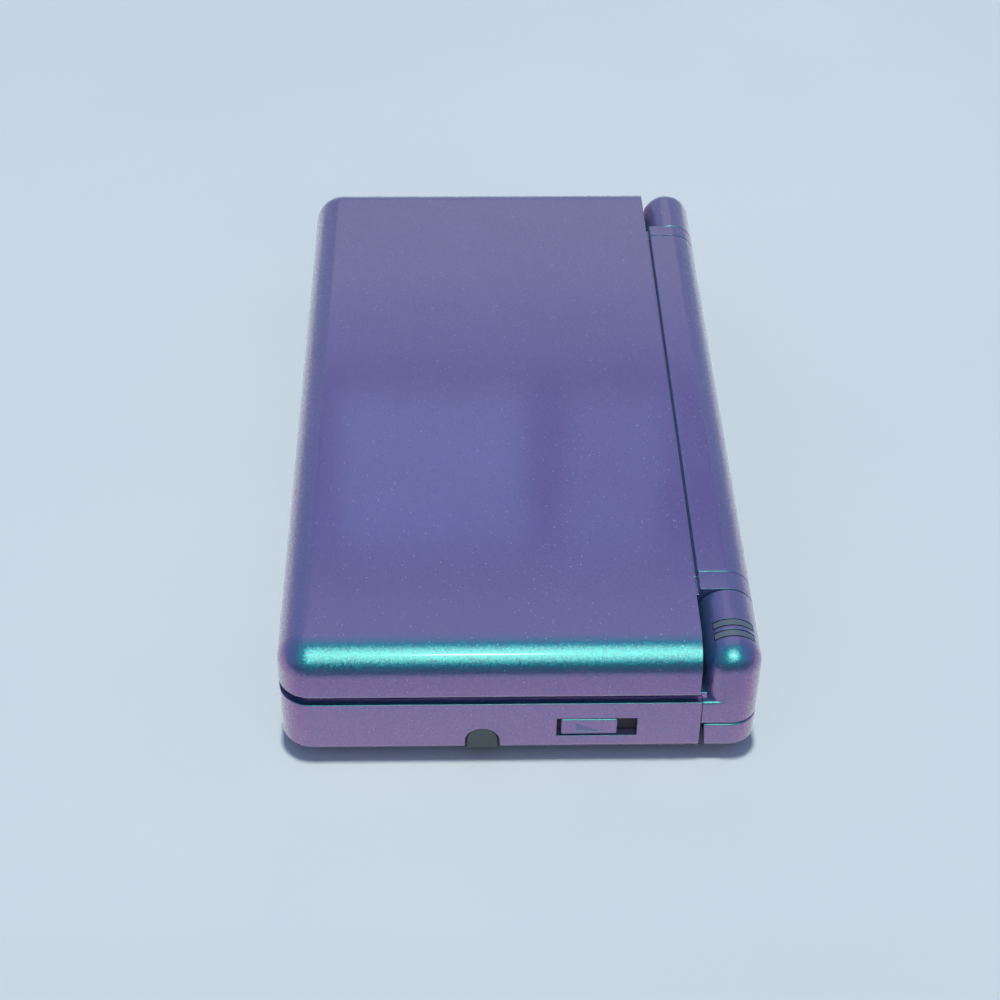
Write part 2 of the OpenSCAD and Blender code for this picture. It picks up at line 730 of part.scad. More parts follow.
module wireless_module() {
    x = [-inner_x + 7.3, -cart_w / 2 - cart_wall - 6.55];
    y = -inner_y + 3.55;
    color("#3a5a86") block(x, [y, y + 15.5], [board_top + 0.03, board_top + 1]);
    color("#b9bec4") block([x[0] + 1, x[1] - 6], [y + 1, y + 14], [board_top + 0.99, board_top + 2.3]);
}

// Screen centred on y between two heights
module screen_slab(w, d, y, z) {
    block([-w / 2, w / 2], [y - d / 2, y + d / 2], z);
}

module lower_screen() {
    color("#2a2d33") screen_slab(screen_w, screen_d, lower_screen_y, [lower_screen_z, touch_z - 0.03]);
}

module touch_panel() {
    color("#20242a") screen_slab(screen_w - 1, screen_d - 1, lower_screen_y, [touch_z, touch_z + touch_t]);
}

// Rubber sheet with a dome under each button
module rubber_pad(x, y) {
    difference() {
        translate([0, 0, pad_z + 0.02]) linear_extrude(pad_t) plan(x, y, 1.5, 1.5);
        children();
    }
}

module dome(at, r, h) {
    post(at, r, [pad_z + pad_t, pad_z + pad_t + h]);
}

module action_button_pad() {
    color("#9a9ca0") {
        rubber_pad([action_x - 12.2, action_x + 11.3], [action_y - 12, action_y + 12]);
        for (a = action_at)
            dome([action_x + action_pitch * a[0], action_y + action_pitch * a[1]], 2.6, 0.55);
    }
}

module dpad_pad() {
    color("#9a9ca0") {
        rubber_pad([-dpad_x - 11.5, -dpad_x + 6.1], [dpad_y - 11.5, dpad_y + 11.5])
            post([-dpad_x, dpad_y], pivot_ball_r + 0.4, [0, far]);
        for (a = action_at) dome([-dpad_x + 4.3 * a[0], dpad_y + 4.3 * a[1]], 1.5, 0.55);
    }
}

module menu_button_pad() {
    color("#9a9ca0") {
        rubber_pad([menu_x - 3, menu_x + 3], [select_y - 2.9, start_y + 3]);
        for (y = [start_y, select_y]) dome([menu_x, y], 1.6, 0.55);
    }
}

module power_switch_unit() {
    color("#8f9296") difference() {
        block([inner_x - 8.1, inner_x - 2.5], [power_slot_y - 6, power_slot_y + 6],
            [board_z - 3, board_z - 0.03]);
        block([inner_x - 3.5, inner_x], [power_slot_y - 4, power_slot_y + 2.9 + power_travel],
            [board_z - 1.8, board_z + 1]);
    }
}

module volume_control_unit() {
    y = -inner_y + 0.8;
    color("#8f9296") difference() {
        block([-volume_x - 7, -volume_x + 7], [y, y + 4.6], [board_z - 3.1, board_z - 0.03]);
        block([-volume_x - volume_travel - 2, -volume_x + volume_travel + 2], [y - 1, y + 1.6],
            [volume_z - 0.7, volume_z + 0.7]);
    }
}

module shoulder_pin() {
    color("#a8abb0") post([pivot_x, pivot_y], pin_r, [base_z + 0.85, board_top + 0.4]);
}

module shoulder_spring() {
    z = [hub_z + hub_h + 0.05, board_z + 0.05];
    color("#a8abb0") {
        difference() {
            post([pivot_x, pivot_y], 1.6, z);
            post([pivot_x, pivot_y], pin_r + 0.15, [0, far]);
        }
        block([pivot_x - 1.6, pivot_x - 1.2], [pivot_y, inner_y - 0.05], [z[0], z[0] + 0.4]);
        block([pivot_x + 0.9, shoulder_x - 0.15], [pivot_y - 1.5, pivot_y - 1.1], [z[0], z[0] + 0.4]);
    }
}

module shoulder_switch() {
    y = shoulder_y - rib_t - 0.15;
    x = shoulder_arm_x;
    color("#55585e") block([x - 2.5, x + 2.5], [y - 4, y], [board_z - 2.9, board_z - 0.03]);
    color("#d8d4c8") block([x - 0.8, x + 0.8], [y - 0.5, shoulder_y + 0.35], [base_z + 2.1, base_z + 3.7]);
}

module cartridge_connector() {
    w = cart_w / 2 - 1.5;
    color("#3a3c40") difference() {
        block([-w, w], [cart_back, cart_back + 3.3], [floor_z + 0.02, cart_z + cart_h - 0.3]);
        block([-w + 2, w - 2], [cart_back - 1, cart_back + 2], [cart_z + 1.6, cart_z + 3.2]);
    }
    color("#c9a54a") for (i = [-15 : 15])
        block([1.65 * i - 0.35, 1.65 * i + 0.35], [cart_back + 0.2, cart_back + 2.05],
            [cart_z + 1.55, cart_z + 1.8]);
}

module game_card_slot() {
    x0 = card_x - card_w / 2;
    x1 = card_x + card_w / 2;
    color("#b9bec4") {
        difference() {
            block([x0 - cage_t, x1 + cage_t], [card_front - 2.2, inner_y - 0.1],
                [card_z - cage_t, card_z + card_h + cage_t]);
            block([x0, x1], [card_front, far], [card_z, card_z + card_h]);
        }
    }
    color("#c9a54a") for (i = [-8 : 8])
        block([card_x + 1.7 * i - 0.3, card_x + 1.7 * i + 0.3], [card_front - eps, card_front + 1.2],
            [card_z - eps, card_z + 0.3]);
}

module headphone_jack() {
    y0 = -half_d + 0.1;
    color("#2b2d31") difference() {
        union() {
            block([jack_x - jack_body_w / 2, jack_x + jack_body_w / 2],
                [-inner_y + 0.1, -inner_y + jack_body_d], [jack_z - 2.7, jack_z + 2.7]);
            translate([jack_x, -inner_y + 0.2, jack_z]) rotate([90, 0, 0])
                cylinder(r = jack_r, h = wall_t + 0.1);
        }
        translate([jack_x, y0 + jack_bore_d, jack_z]) rotate([90, 0, 0])
            cylinder(r = jack_bore_r, h = jack_bore_d + 1);
    }
}

module charging_socket() {
    color("#b9bec4") difference() {
        block([-socket_x - 3.8, -socket_x + 3.8], [inner_y - 5, inner_y - 0.1],
            [socket_z, socket_z + 3.2]);
        block([-socket_x - 2.9, -socket_x + 2.9], [inner_y - 4, half_d],
            [socket_z + 0.7, socket_z + 2.5]);
    }
    color("#2b2d31") block([-socket_x - 2.2, -socket_x + 2.2], [inner_y - 4 - eps, inner_y - 0.6],
        [socket_z + 1.3, socket_z + 1.9]);
}

module power_light_guide() {
    color("#8d97a2") light_arc(0, 0, barrel_r - 1.2);
}

module charge_light_guide() {
    color("#8d97a2") light_arc(1, 0, barrel_r - 1.2);
}

module hinge_cartridge() {
    color("#9b9ea3") difference() {
        on_axis(journal_r, [-bore_end + 0.05, left_knuckle_x]);
        on_axis(1.5 + running_gap, [left_knuckle_x - 6, left_knuckle_x + 1]);
    }
}

module hinge_journal() {
    color("#9b9ea3") difference() {
        on_axis(journal_r, [right_ring_x, right_knuckle_x + 6]);
        on_axis(journal_r - 0.7, [right_ring_x - 1, far]);
    }
}

// Flat cable rolled up inside the hinge
module ribbon_roll(x) {
    difference() {
        on_axis(1.7, x);
        on_axis(1.4, [x[0] - 1, x[1] + 1]);
    }
}

module display_ribbon_base() {
    y = [hinge_y - 0.8, hinge_y + 0.8];
    color("#c77f2e") {
        ribbon_roll([right_knuckle_x + 0.1, ribbon_x + 2]);
        block([ribbon_x, ribbon_x + 2], [hinge_y - 0.15, hinge_y + 0.15], [ribbon_z, hinge_z - 1.5]);
        block([ribbon_leg_x, ribbon_x + 2], y, [ribbon_z, ribbon_z + 0.25]);
        block([ribbon_leg_x, ribbon_leg_x + 2], [shoulder_y - 4.95, hinge_y + 0.8],
            [ribbon_z, ribbon_z + 0.25]);
    }
}

// ---- controls ----

module dpad_pivot() {
    color("#d9d9d6") translate([-dpad_x, dpad_y, pivot_z]) sphere(r = pivot_ball_r);
}

module dpad() {
    color("#5d5a86") difference() {
        union() {
            for (q = [0, 90]) translate([-dpad_x, dpad_y, 0]) rotate([0, 0, q])
                block([-dpad_span / 2 + 0.3, dpad_span / 2 - 0.3],
                    [-dpad_arm_w / 2 + 0.1, dpad_arm_w / 2 - 0.1],
                    [dpad_flange_z, face_z + dpad_rise]);
            post([-dpad_x, dpad_y], dpad_span / 2 + 0.6, [dpad_flange_z, dpad_flange_z + 0.85]);
        }
        post([-dpad_x, dpad_y], pivot_ball_r + 0.15, [0, pivot_z + pivot_ball_r + 0.05]);
        translate([-dpad_x, dpad_y, face_z + dpad_rise + 3.6]) sphere(r = 4);
    }
}

// Round button: cap, retaining flange under the face, stem down to its dome
module push_button(at, r, top, travel) {
    post(at, r, [face_under - 1, top]);
    post(at, r + 0.75, [face_under - 1.05, face_under - 0.1]);
    post(at, r * 0.6, [pad_z + pad_t + 0.65 + travel, face_under - 0.9]);
}

module action_button(i) {
    a = action_at[i];
    color("#5d5a86")
        push_button([action_x + action_pitch * a[0], action_y + action_pitch * a[1]], action_r,
            face_z + action_rise, action_travel);
}

module action_button_right() { action_button(0); }
module action_button_front() { action_button(1); }
module action_button_back() { action_button(2); }
module action_button_left() { action_button(3); }

module start_button() {
    color("#5d5a86") push_button([menu_x, start_y], menu_r, face_z + 0.3, 0.5);
}

module select_button() {
    color("#5d5a86") push_button([menu_x, select_y], menu_r, face_z + 0.3, 0.5);
}

module power_slider() {
    y0 = power_slot_y - power_slot_len / 2 + 0.55;
    h = power_slot_h / 2 - 0.1;
    flange = power_slot_h / 2 + 0.7;
    color("#7a6a9c") difference() {
        union() {
            block([inner_x - 0.2, half_w - 0.1], [y0, y0 + power_knob_len],
                [power_slot_z - h, power_slot_z + h]);
            block([inner_x - 1.4, inner_x - 0.1], [power_slot_y - 9.2, power_slot_y + 8.4],
                [power_slot_z - flange, power_slot_z + flange]);
            block([inner_x - 3.3, inner_x - 1.3], [power_slot_y - 3, power_slot_y - 0.6],
                [board_z - 1.5, board_z - 0.1]);
        }
        translate([half_w - 0.45, power_slot_y - 3.2, power_slot_z]) rotate([90, 0, 90])
            linear_extrude(1) polygon([[0, -0.9], [3.7, -0.9], [0, 0.9]]);
    }
}

module volume_slider() {
    h = volume_slot_h / 2 - 0.1;
    color("#5d5a86") {
        block([-volume_x - 1.9, -volume_x + 1.9], [-half_d, -inner_y + 0.2],
            [volume_z - h, volume_z + h]);
        block([-volume_x - 7, -volume_x + 7], [-inner_y + 0.1, -inner_y + 0.7],
            [volume_z - h - 0.6, volume_z + h + 0.6]);
        block([-volume_x - 1, -volume_x + 1], [-inner_y + 0.6, -inner_y + 2.2],
            [volume_z - 0.5, volume_z + 0.5]);
    }
}

module shoulder_button() {
    y = shoulder_y + shoulder_front_gap;
    top = shoulder_z - shoulder_gap;
    color("#7a6a9c") difference() {
        union() {
            difference() {
                union() {
                    back_corner(shoulder_x, y) slab_section([base_z, top], base_edge_r, 0.3);
                    block([shoulder_x, half_w - back_corner_r], [y, half_d - back_corner_r],
                        [base_z, top]);
                }
                block([shoulder_x + 1.2, inner_x], [shoulder_y, inner_y - 0.2],
                    [base_z + 1.4, top - 1.3]);
            }
            block([shoulder_arm_x - 0.8, shoulder_arm_x + 0.8], [y + 0.05, inner_y],
                [base_z + 1.2, top - 1.2]);
            block([pivot_x, shoulder_x + 0.2], [pivot_y - 1.6, pivot_y + 1.6], [hub_z, hub_z + hub_h]);
            post([pivot_x, pivot_y], hub_r, [hub_z, hub_z + hub_h]);
        }
        post([pivot_x, pivot_y], pin_r + running_gap, [0, far]);
        translate([0, shoulder_y, 0]) rotate([90, 0, 90]) linear_extrude(far)
            polygon([[-9, 0], [0.98, 0], [shoulder_front_gap - 0.05, top + 0.1], [-9, top + 0.1]]);
        translate([shoulder_x + 0.4, 0, 0]) mirror([1, 0, 0])
            block([0, 1], [0, far], [-1, hub_z - 0.1]);
    }
}

module stylus() {
    x_cap = half_w - cap_len - 0.1;
    x_tip = half_w - stylus_len - 0.1;
    cap_r = stylus_cap_w / 2;
    color("#4a525a") {
        intersection() {
            union() {
                translate([x_cap, stylus_y, stylus_z - 0.35]) rotate([0, 90, 0])
                    cylinder(r = cap_r, h = cap_len - 0.2);
                block([x_cap, x_cap + cap_len - 0.2], [stylus_y - cap_r, stylus_y + cap_r],
                    [base_z + 0.1, stylus_z - 0.35]);
            }
            block([0, far], [-far, far], [base_z + 0.1, far]);
        }
        translate([x_tip + 6, stylus_y, stylus_z]) rotate([0, 90, 0])
            cylinder(r = stylus_r, h = x_cap - x_tip - 5.9);
        translate([x_tip, stylus_y, stylus_z]) rotate([0, 90, 0])
            cylinder(r1 = 0.8, r2 = stylus_r, h = 6 + eps);
    }
}

module cartridge_slot_cover() {
    g = 0.15;
    w = cart_w / 2 - g;
    z = [cart_z + g, cart_z + cart_h - g];
    color("#6f6a9e") difference() {
        block([-w, w], [-half_d + 0.05, cart_back - 1.5], z);
        block([-w + 1, w - 1], [-half_d + 1.6, cart_back], [z[0] + 1, z[1] - 1]);
        block([-6, 6], [-half_d - 1, -half_d + 0.6], [z[0] - 1, z[0] + 1.4]);
    }
}

// ---- lid ----

module lid_section() {
    difference() {
        slab_section([lid_z, lid_top], seam_edge_r, lid_edge_r);
        difference() {
            translate([-far, 0]) square([far - wall_t, lid_top - lid_top_t]);
            translate([-wall_t - lid_edge_r + lid_top_t, lid_top - lid_edge_r]) difference() {
                square([far, far]);
                circle(r = lid_edge_r - lid_top_t);
            }
        }
    }
}

// Solid section of the lid from side to side
module lid_cross_section() {
    for (s = [0, 1]) mirror([s, 0]) translate([half_w, 0]) edge_strip(20)
        slab_section([lid_z, lid_top], seam_edge_r, lid_edge_r);
    translate([-half_w + 19, lid_z]) square([case_w - 38, lid_h]);
}

// Profile of the barrel and its web, as [Y, Z]
module barrel_profile() {
    translate([hinge_y, hinge_z]) circle(r = barrel_r);
    translate([lid_back + groove_w, hinge_z]) square([hinge_y - lid_back - groove_w, barrel_r]);
    translate([lid_back - 0.5, bezel_top + 0.2])
        square([hinge_y - lid_back + 0.5 - barrel_r * 0.8, web_top - bezel_top - 0.2]);
}

module along_x(x) {
    translate([x[0], 0, 0]) rotate([90, 0, 90]) linear_extrude(x[1] - x[0]) children();
}

module lid_outer_shell() {
    r = front_corner_r;
    color("#6a66a4") in_lid() difference() {
        union() {
            front_sweep(lid_back) lid_section();
            block([-half_w + r, half_w - r], [-half_d + r, lid_back], [lid_top - lid_top_t, lid_top]);
            translate([0, lid_back, 0]) rotate([90, 0, 0]) linear_extrude(wall_t) lid_cross_section();
            along_x([barrel_x0, barrel_x1]) barrel_profile();
            for (p = lid_boss) post(p, boss_r, [bezel_top + 0.65, lid_top - lid_top_t + 0.2]);
        }
        on_axis(bore_r, [barrel_x0 - 1, barrel_x1 + 1]);
        for (p = lid_boss) post(p, screw_r + 0.05, [0, lid_top - lid_top_t - 1]);
        for (x = [left_ring_x, right_ring_x])
            block([x - 0.1, x + (x < 0 ? left_ring_w : right_ring_w) + 0.1],
                [lid_back - wall_t - 0.1, hinge_y], [bezel_z, web_top + 0.1]);
        block([ribbon_flat[0] - 0.4, ribbon_flat[1] + 0.4], [lid_back - wall_t - 1, hinge_y - 2],
            [hinge_z + 0.1, hinge_z + 1.1]);
        translate([0, hinge_y, hinge_z]) rotate([-135, 0, 0]) rotate([-90, 0, 0])
            cylinder(r = 0.6, h = barrel_r + 3);
    }
}

module ring_arm(x, w) {
    along_x([x, x + w]) {
        translate([hinge_y, hinge_z]) circle(r = barrel_r);
        translate([lid_back + groove_w, hinge_z]) square([hinge_y - lid_back - groove_w, barrel_r]);
        translate([lid_back - wall_t - 2.5, bezel_z])
            square([hinge_y - lid_back + wall_t + 2.5 - barrel_r * 0.8, web_top - bezel_z]);
    }
}

module lid_inner_shell() {
    x = inner_x - seat_gap;
    y0 = -inner_y + seat_gap;
    y1 = lid_back - wall_t - seat_gap;
    color("#5a5a8c") in_lid() difference() {
        union() {
            translate([0, 0, bezel_z]) linear_extrude(bezel_t)
                plan([-x, x], [y0, y1], front_corner_r - wall_t, 0.5);
            ring_arm(left_ring_x, left_ring_w);
            ring_arm(right_ring_x, right_ring_w);
            for (p = lid_boss) post(p, boss_r + 0.3, [bezel_z, bezel_top + 0.6]);
            difference() {
                screen_slab(screen_w + 2.2, screen_d + 2.2, upper_screen_y, [bezel_top - 0.2, bezel_top + 2]);
                screen_slab(screen_w + 0.3, screen_d + 0.3, upper_screen_y, [0, far]);
            }
        }
        screen_slab(window_w, window_d, upper_screen_y, [0, far]);
        screen_slab(window_w + 4.2, window_d + 4.2, upper_screen_y, [0, bezel_z + lens_t + 0.1]);
        on_axis(bore_r, [right_ring_x - 1, far]);
        block([-far, 0], [hinge_y - cam_key / 2 - 0.03, hinge_y + cam_key / 2 + 0.03],
            [hinge_z - cam_key / 2 - 0.03, hinge_z + cam_key / 2 + 0.03]);
        for (p = lid_boss) {
            post(p, boss_r + 0.05, [0, bezel_z + 0.4]);
            post(p, screw_head_r + 0.15, [0, bezel_z + 1.2]);
            post(p, screw_r + 0.2, [0, far]);
        }
        for (s = [-1, 1], i = [-1, 0, 1], j = [-1, 1])
            post([s * speaker_x + 1.7 * j, upper_screen_y + 3.4 * i], 0.8, [0, bezel_top + 0.2]);
    }
}

module upper_screen() {
    color("#2a2d33") in_lid() screen_slab(screen_w, screen_d, upper_screen_y,
        [bezel_top + 0.03, bezel_top + 0.03 + upper_screen_t]);
}

module upper_screen_lens() {
    color("#20242a") in_lid() screen_slab(window_w + 4, window_d + 4, upper_screen_y,
        [bezel_z + 0.05, bezel_z + 0.05 + lens_t]);
}

module speaker() {
    color("#303236") in_lid() difference() {
        union() {
            post([speaker_x, upper_screen_y], speaker_r, [bezel_top + 0.03, bezel_top + 2.2]);
            post([speaker_x, upper_screen_y], speaker_r * 0.6, [bezel_top + 2.1, bezel_top + 3.6]);
        }
        post([speaker_x, upper_screen_y], speaker_r - 1, [0, bezel_top + 0.5]);
    }
}

module microphone() {
    color("#8f9296") in_lid() on_axis(journal_r, [-1.6, 1.6]);
}

module hinge_cam() {
    k = cam_key / 2;
    color("#9b9ea3") in_lid() {
        block([left_ring_x, left_ring_x + left_ring_w + 4], [hinge_y - k, hinge_y + k],
            [hinge_z - k, hinge_z + k]);
        on_axis(1.5, [left_knuckle_x - 5.5, left_ring_x + 0.1]);
    }
}

module lid_screws() {
    color("#4a4c50") in_lid() for (p = lid_boss) screw(p, bezel_z + 0.5, 0.6, lid_top - lid_top_t - 2);
}

module lid_bumpers() {
    color("#3c3f48") in_lid() for (p = lid_boss) post(p, boss_r, [face_z + 0.05, bezel_z + 0.38]);
}

module display_ribbon_lid() {
    z = [hinge_z + 0.35, hinge_z + 0.6];
    color("#c77f2e") in_lid() {
        ribbon_roll([ribbon_flat[0], right_knuckle_x - hinge_side_gap - 0.1]);
        block(ribbon_flat, [upper_screen_y + 12, hinge_y - 1.5], z);
    }
}

// ---- nodes ----

module mirrored() {
    mirror([1, 0, 0]) children();
}

base_lower_shell();
base_upper_shell();
battery_cover();
battery_cover_screw();
battery_pack();
main_board();
processor_shield();
wireless_module();
lower_screen();
touch_panel();
action_button_pad();
dpad_pad();
menu_button_pad();
power_switch_unit();
volume_control_unit();
mirrored() shoulder_pin();  // left_shoulder_pin
shoulder_pin();  // right_shoulder_pin
mirrored() shoulder_spring();  // left_shoulder_spring
shoulder_spring();  // right_shoulder_spring
mirrored() shoulder_switch();  // left_shoulder_switch
shoulder_switch();  // right_shoulder_switch
cartridge_connector();
game_card_slot();
headphone_jack();
charging_socket();
power_light_guide();
charge_light_guide();
rubber_feet();
base_screws();
hinge_cartridge();
hinge_journal();
display_ribbon_base();
stylus();
cartridge_slot_cover();
dpad();
dpad_pivot();
action_button_right();
action_button_front();
action_button_back();
action_button_left();
start_button();
select_button();
power_slider();
volume_slider();
mirrored() shoulder_button();  // left_shoulder_button
shoulder_button();  // right_shoulder_button
lid_outer_shell();
lid_inner_shell();
upper_screen();
upper_screen_lens();
mirrored() speaker();  // left_speaker
speaker();  // right_speaker
microphone();
hinge_cam();
lid_screws();
lid_bumpers();
display_ribbon_lid();
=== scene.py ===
# %% [markdown]
# # A clamshell handheld game console
# The console is two thin painted shells joined by a hinge. The fixed frame that this script
# loads holds every solid at its true size and place. The lesson dresses it: it rebuilds the
# outer pieces as smooth surfaces, gives each solid a finish, and lights the console on a pale
# table. Lengths are worked in millimetres and turned to metres once, when a mesh is made.

import json
import math

import bmesh
import bpy
import numpy as np
from mathutils import Matrix

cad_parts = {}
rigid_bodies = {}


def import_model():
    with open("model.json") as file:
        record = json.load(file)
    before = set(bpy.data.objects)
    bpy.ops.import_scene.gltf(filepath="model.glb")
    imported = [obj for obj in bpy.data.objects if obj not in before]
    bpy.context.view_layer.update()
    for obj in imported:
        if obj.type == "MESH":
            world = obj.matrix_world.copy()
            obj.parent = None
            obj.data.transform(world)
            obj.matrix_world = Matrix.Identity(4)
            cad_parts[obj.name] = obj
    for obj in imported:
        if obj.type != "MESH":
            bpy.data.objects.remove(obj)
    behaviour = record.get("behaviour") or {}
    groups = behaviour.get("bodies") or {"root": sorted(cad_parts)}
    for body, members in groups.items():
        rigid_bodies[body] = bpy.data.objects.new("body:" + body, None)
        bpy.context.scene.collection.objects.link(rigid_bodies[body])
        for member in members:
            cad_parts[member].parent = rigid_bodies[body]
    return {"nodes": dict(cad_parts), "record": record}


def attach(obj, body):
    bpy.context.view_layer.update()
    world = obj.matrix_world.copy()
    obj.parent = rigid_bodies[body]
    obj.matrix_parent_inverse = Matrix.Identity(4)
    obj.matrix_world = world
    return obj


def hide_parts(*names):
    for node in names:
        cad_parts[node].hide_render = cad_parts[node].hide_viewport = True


for left_over in list(bpy.data.objects):
    bpy.data.objects.remove(left_over)
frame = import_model()
bpy.context.view_layer.update()
nodes = frame["nodes"]

# %% [markdown]
# ## From arrays to meshes
# Every new piece is a grid of points: rows run along a profile, columns run round an outline.
# One helper turns rows and columns into quads as a whole array, another puts points and faces
# into a mesh. Closed pieces are used throughout, because a real shell has two faces and an
# edge, and because only closed solids can be cut with each other.

# %% Mesh helpers
MM = 0.001


def mesh_piece(name, points, faces):
    """A mesh object from points in millimetres and faces. Its faces are turned outwards."""
    mesh = bpy.data.meshes.new(name)
    mesh.from_pydata((np.asarray(points, float) * MM).tolist(), [], faces)
    work = bmesh.new()
    work.from_mesh(mesh)
    bmesh.ops.remove_doubles(work, verts=work.verts, dist=1e-6)
    bmesh.ops.recalc_face_normals(work, faces=work.faces)
    work.to_mesh(mesh)
    work.free()
    piece = bpy.data.objects.new(name, mesh)
    bpy.context.scene.collection.objects.link(piece)
    return piece


def ring_stack(name, rings):
    """A closed solid from rings[k, i] = i-th point of the k-th ring: quads join each ring to the
    next, wrapping round, and one flat face closes each end."""
    rows, cols = rings.shape[:2]
    at = np.arange(rows * cols).reshape(rows, cols)
    low, high = at[:-1], at[1:]
    quads = np.stack([low, np.roll(low, -1, 1), np.roll(high, -1, 1), high], -1).reshape(-1, 4)
    caps = [at[0, ::-1].tolist(), at[-1].tolist()]
    return mesh_piece(name, rings.reshape(-1, 3), quads.tolist() + caps)


def arc(centre, radius, start, end, steps=8):
    """Points centre + radius * (cos a, sin a) for a from start to end degrees."""
    a = np.radians(np.linspace(start, end, steps + 1))
    return np.stack([centre[0] + radius * np.cos(a), centre[1] + radius * np.sin(a)], 1)


print("helpers ready")

# %% [markdown]
# ## Three ways to make a solid
# A moulded case is an outline seen from above and a wall profile carried round it. A slider or
# a hinge arm is an outline pushed straight along one axis. A button, foot or screw is a profile
# turned about an axis. These three functions, and the box and the plain cylinder that use them,
# make almost every piece below.

# %% Slab, prism and turned solid
def outline(corners, radii, steps=10):
    """Anticlockwise outline with rounded corners, and the outward normal at each point. A corner
    of radius 0 is left out of the rounding and gets no normal, so a profile doesn't move it."""
    corners = np.asarray(corners, float)
    before, after = np.roll(corners, 1, 0) - corners, np.roll(corners, -1, 0) - corners
    before /= np.linalg.norm(before, axis=1)[:, None]
    after /= np.linalg.norm(after, axis=1)[:, None]
    points, normals = [], []
    for corner, b, a, r in zip(corners, before, after, radii):
        if r == 0:
            points.append(corner[None])
            normals.append(np.zeros((1, 2)))
            continue
        # b and a point at the two neighbours; the arc's centre lies on their bisector
        half = math.acos(np.clip(b @ a, -1, 1)) / 2
        centre = corner + (b + a) / np.linalg.norm(b + a) * r / math.sin(half)
        first = np.array([b[1], -b[0]])
        first = first if first @ b > -1e-9 and first @ (corner - centre) > 0 else -first
        last = np.array([a[1], -a[0]])
        last = last if last @ (corner - centre) > 0 else -last
        t0, t1 = math.atan2(first[1], first[0]), math.atan2(last[1], last[0])
        t1 = t0 + (t1 - t0 + math.pi) % (2 * math.pi) - math.pi
        t = np.linspace(t0, t1, steps + 1)
        n = np.stack([np.cos(t), np.sin(t)], 1)
        points.append(centre + r * n)
        normals.append(n * (1 if (t1 - t0) > 0 else -1))
    return np.concatenate(points), np.concatenate(normals)


def wall_profile(low, high, low_r, high_r, steps=8):
    """Rows of (inset, height) for a wall between two heights with rounded edges: each edge is a
    quarter circle, inset = r - r cos a, height = its centre + r sin a."""
    a = np.radians(np.linspace(0, 90, steps + 1))
    bottom = np.stack([low_r - low_r * np.cos(a), low + low_r - low_r * np.sin(a)], 1)[::-1]
    top = np.stack([high_r - high_r * np.cos(a), high - high_r + high_r * np.sin(a)], 1)
    return np.concatenate([bottom, top])


def slab(name, points, normals, profile):
    """Solid P(u, v) = outline(u) - normal(u) * inset(v), at height(v)."""
    profile = np.asarray(profile, float)
    flat = points[None] - normals[None] * profile[:, :1, None]
    height = np.broadcast_to(profile[:, 1, None, None], flat.shape[:2] + (1,))
    return ring_stack(name, np.concatenate([flat, height], -1))


def prism(name, shape, axis, low, high):
    """Outline shape, in the plane of the other two axes, pushed along axis from low to high.
    Across X the outline is (y, z), across Y it is (x, z), across Z it is (x, y)."""
    shape = np.asarray(shape, float)
    rings = np.insert(np.repeat(shape[None], 2, 0), axis, 0.0, axis=2)
    rings[0, :, axis], rings[1, :, axis] = low, high
    return ring_stack(name, rings)


def block(name, x, y, z):
    """Box between two corners, as a prism."""
    return prism(name, [(x[0], y[0]), (x[1], y[0]), (x[1], y[1]), (x[0], y[1])], 2, *z)


def turned(name, profile, centre, axis=2, segments=64):
    """Surface of revolution: point = centre + r (cos t, sin t) in the plane across axis, and
    h along it, for rows (r, h) of the profile."""
    profile = np.asarray(profile, float)
    t = np.arange(segments) * 2 * np.pi / segments
    r, h = profile[:, :1], profile[:, 1:2]
    rings = np.stack([r * np.cos(t), r * np.sin(t), h + 0 * t], -1)
    rings = rings[..., {0: [2, 0, 1], 1: [1, 2, 0], 2: [0, 1, 2]}[axis]]
    return ring_stack(name, rings + np.asarray(centre, float))


def rod(name, radius, low, high, centre=(0, 0, 0), axis=2, segments=64):
    """Plain cylinder about an axis through centre: a bore, a boss or a pin."""
    rows = [(0, low), (radius, low), (radius, high), (0, high)]
    return turned(name, rows, centre, axis, segments)


print("a slab, a prism and a turned solid can be made")

# %% [markdown]
# ## Cutting, rounding and finishing
# Slots and sockets are milled out of the smooth solids with exact cuts. Large edges get their
# rounding from the profile itself. The hair-thin rounding that every moulded edge has is left
# to the paint, whose shader rounds edges a tenth of a millimetre wide. Flat faces beside a
# rounded edge would look swollen with plain smooth shading, so normals are weighted by area.

# %% Cuts and finishing
def applied(piece):
    """Puts the result of the piece's modifiers into its mesh."""
    shown = piece.evaluated_get(bpy.context.evaluated_depsgraph_get())
    mesh = bpy.data.meshes.new_from_object(shown)
    piece.modifiers.clear()
    old, piece.data = piece.data, mesh
    bpy.data.meshes.remove(old)
    return piece


def combine(piece, tools, operation="DIFFERENCE"):
    """Cuts the tools out of the piece, or joins them to it, and throws the tools away."""
    for tool in tools:
        step = piece.modifiers.new("combine", "BOOLEAN")
        step.object, step.operation, step.solver = tool, operation, "EXACT"
    applied(piece)
    for tool in tools:
        bpy.data.objects.remove(tool)
    return piece


def bevelled(piece, width, segments=3, angle=35):
    """Rounds the piece's sharp edges, width in millimetres."""
    step = piece.modifiers.new("round", "BEVEL")
    step.width, step.segments, step.limit_method = width * MM, segments, "ANGLE"
    step.angle_limit = math.radians(angle)
    return applied(piece)


def cleaned(mesh):
    """Merges points that lie within a micrometre and drops the faces that have no area left."""
    work = bmesh.new()
    work.from_mesh(mesh)
    bmesh.ops.remove_doubles(work, verts=work.verts, dist=1e-6)
    bmesh.ops.dissolve_degenerate(work, dist=1e-6, edges=work.edges)
    work.to_mesh(mesh)
    work.free()
    return mesh


made = {}


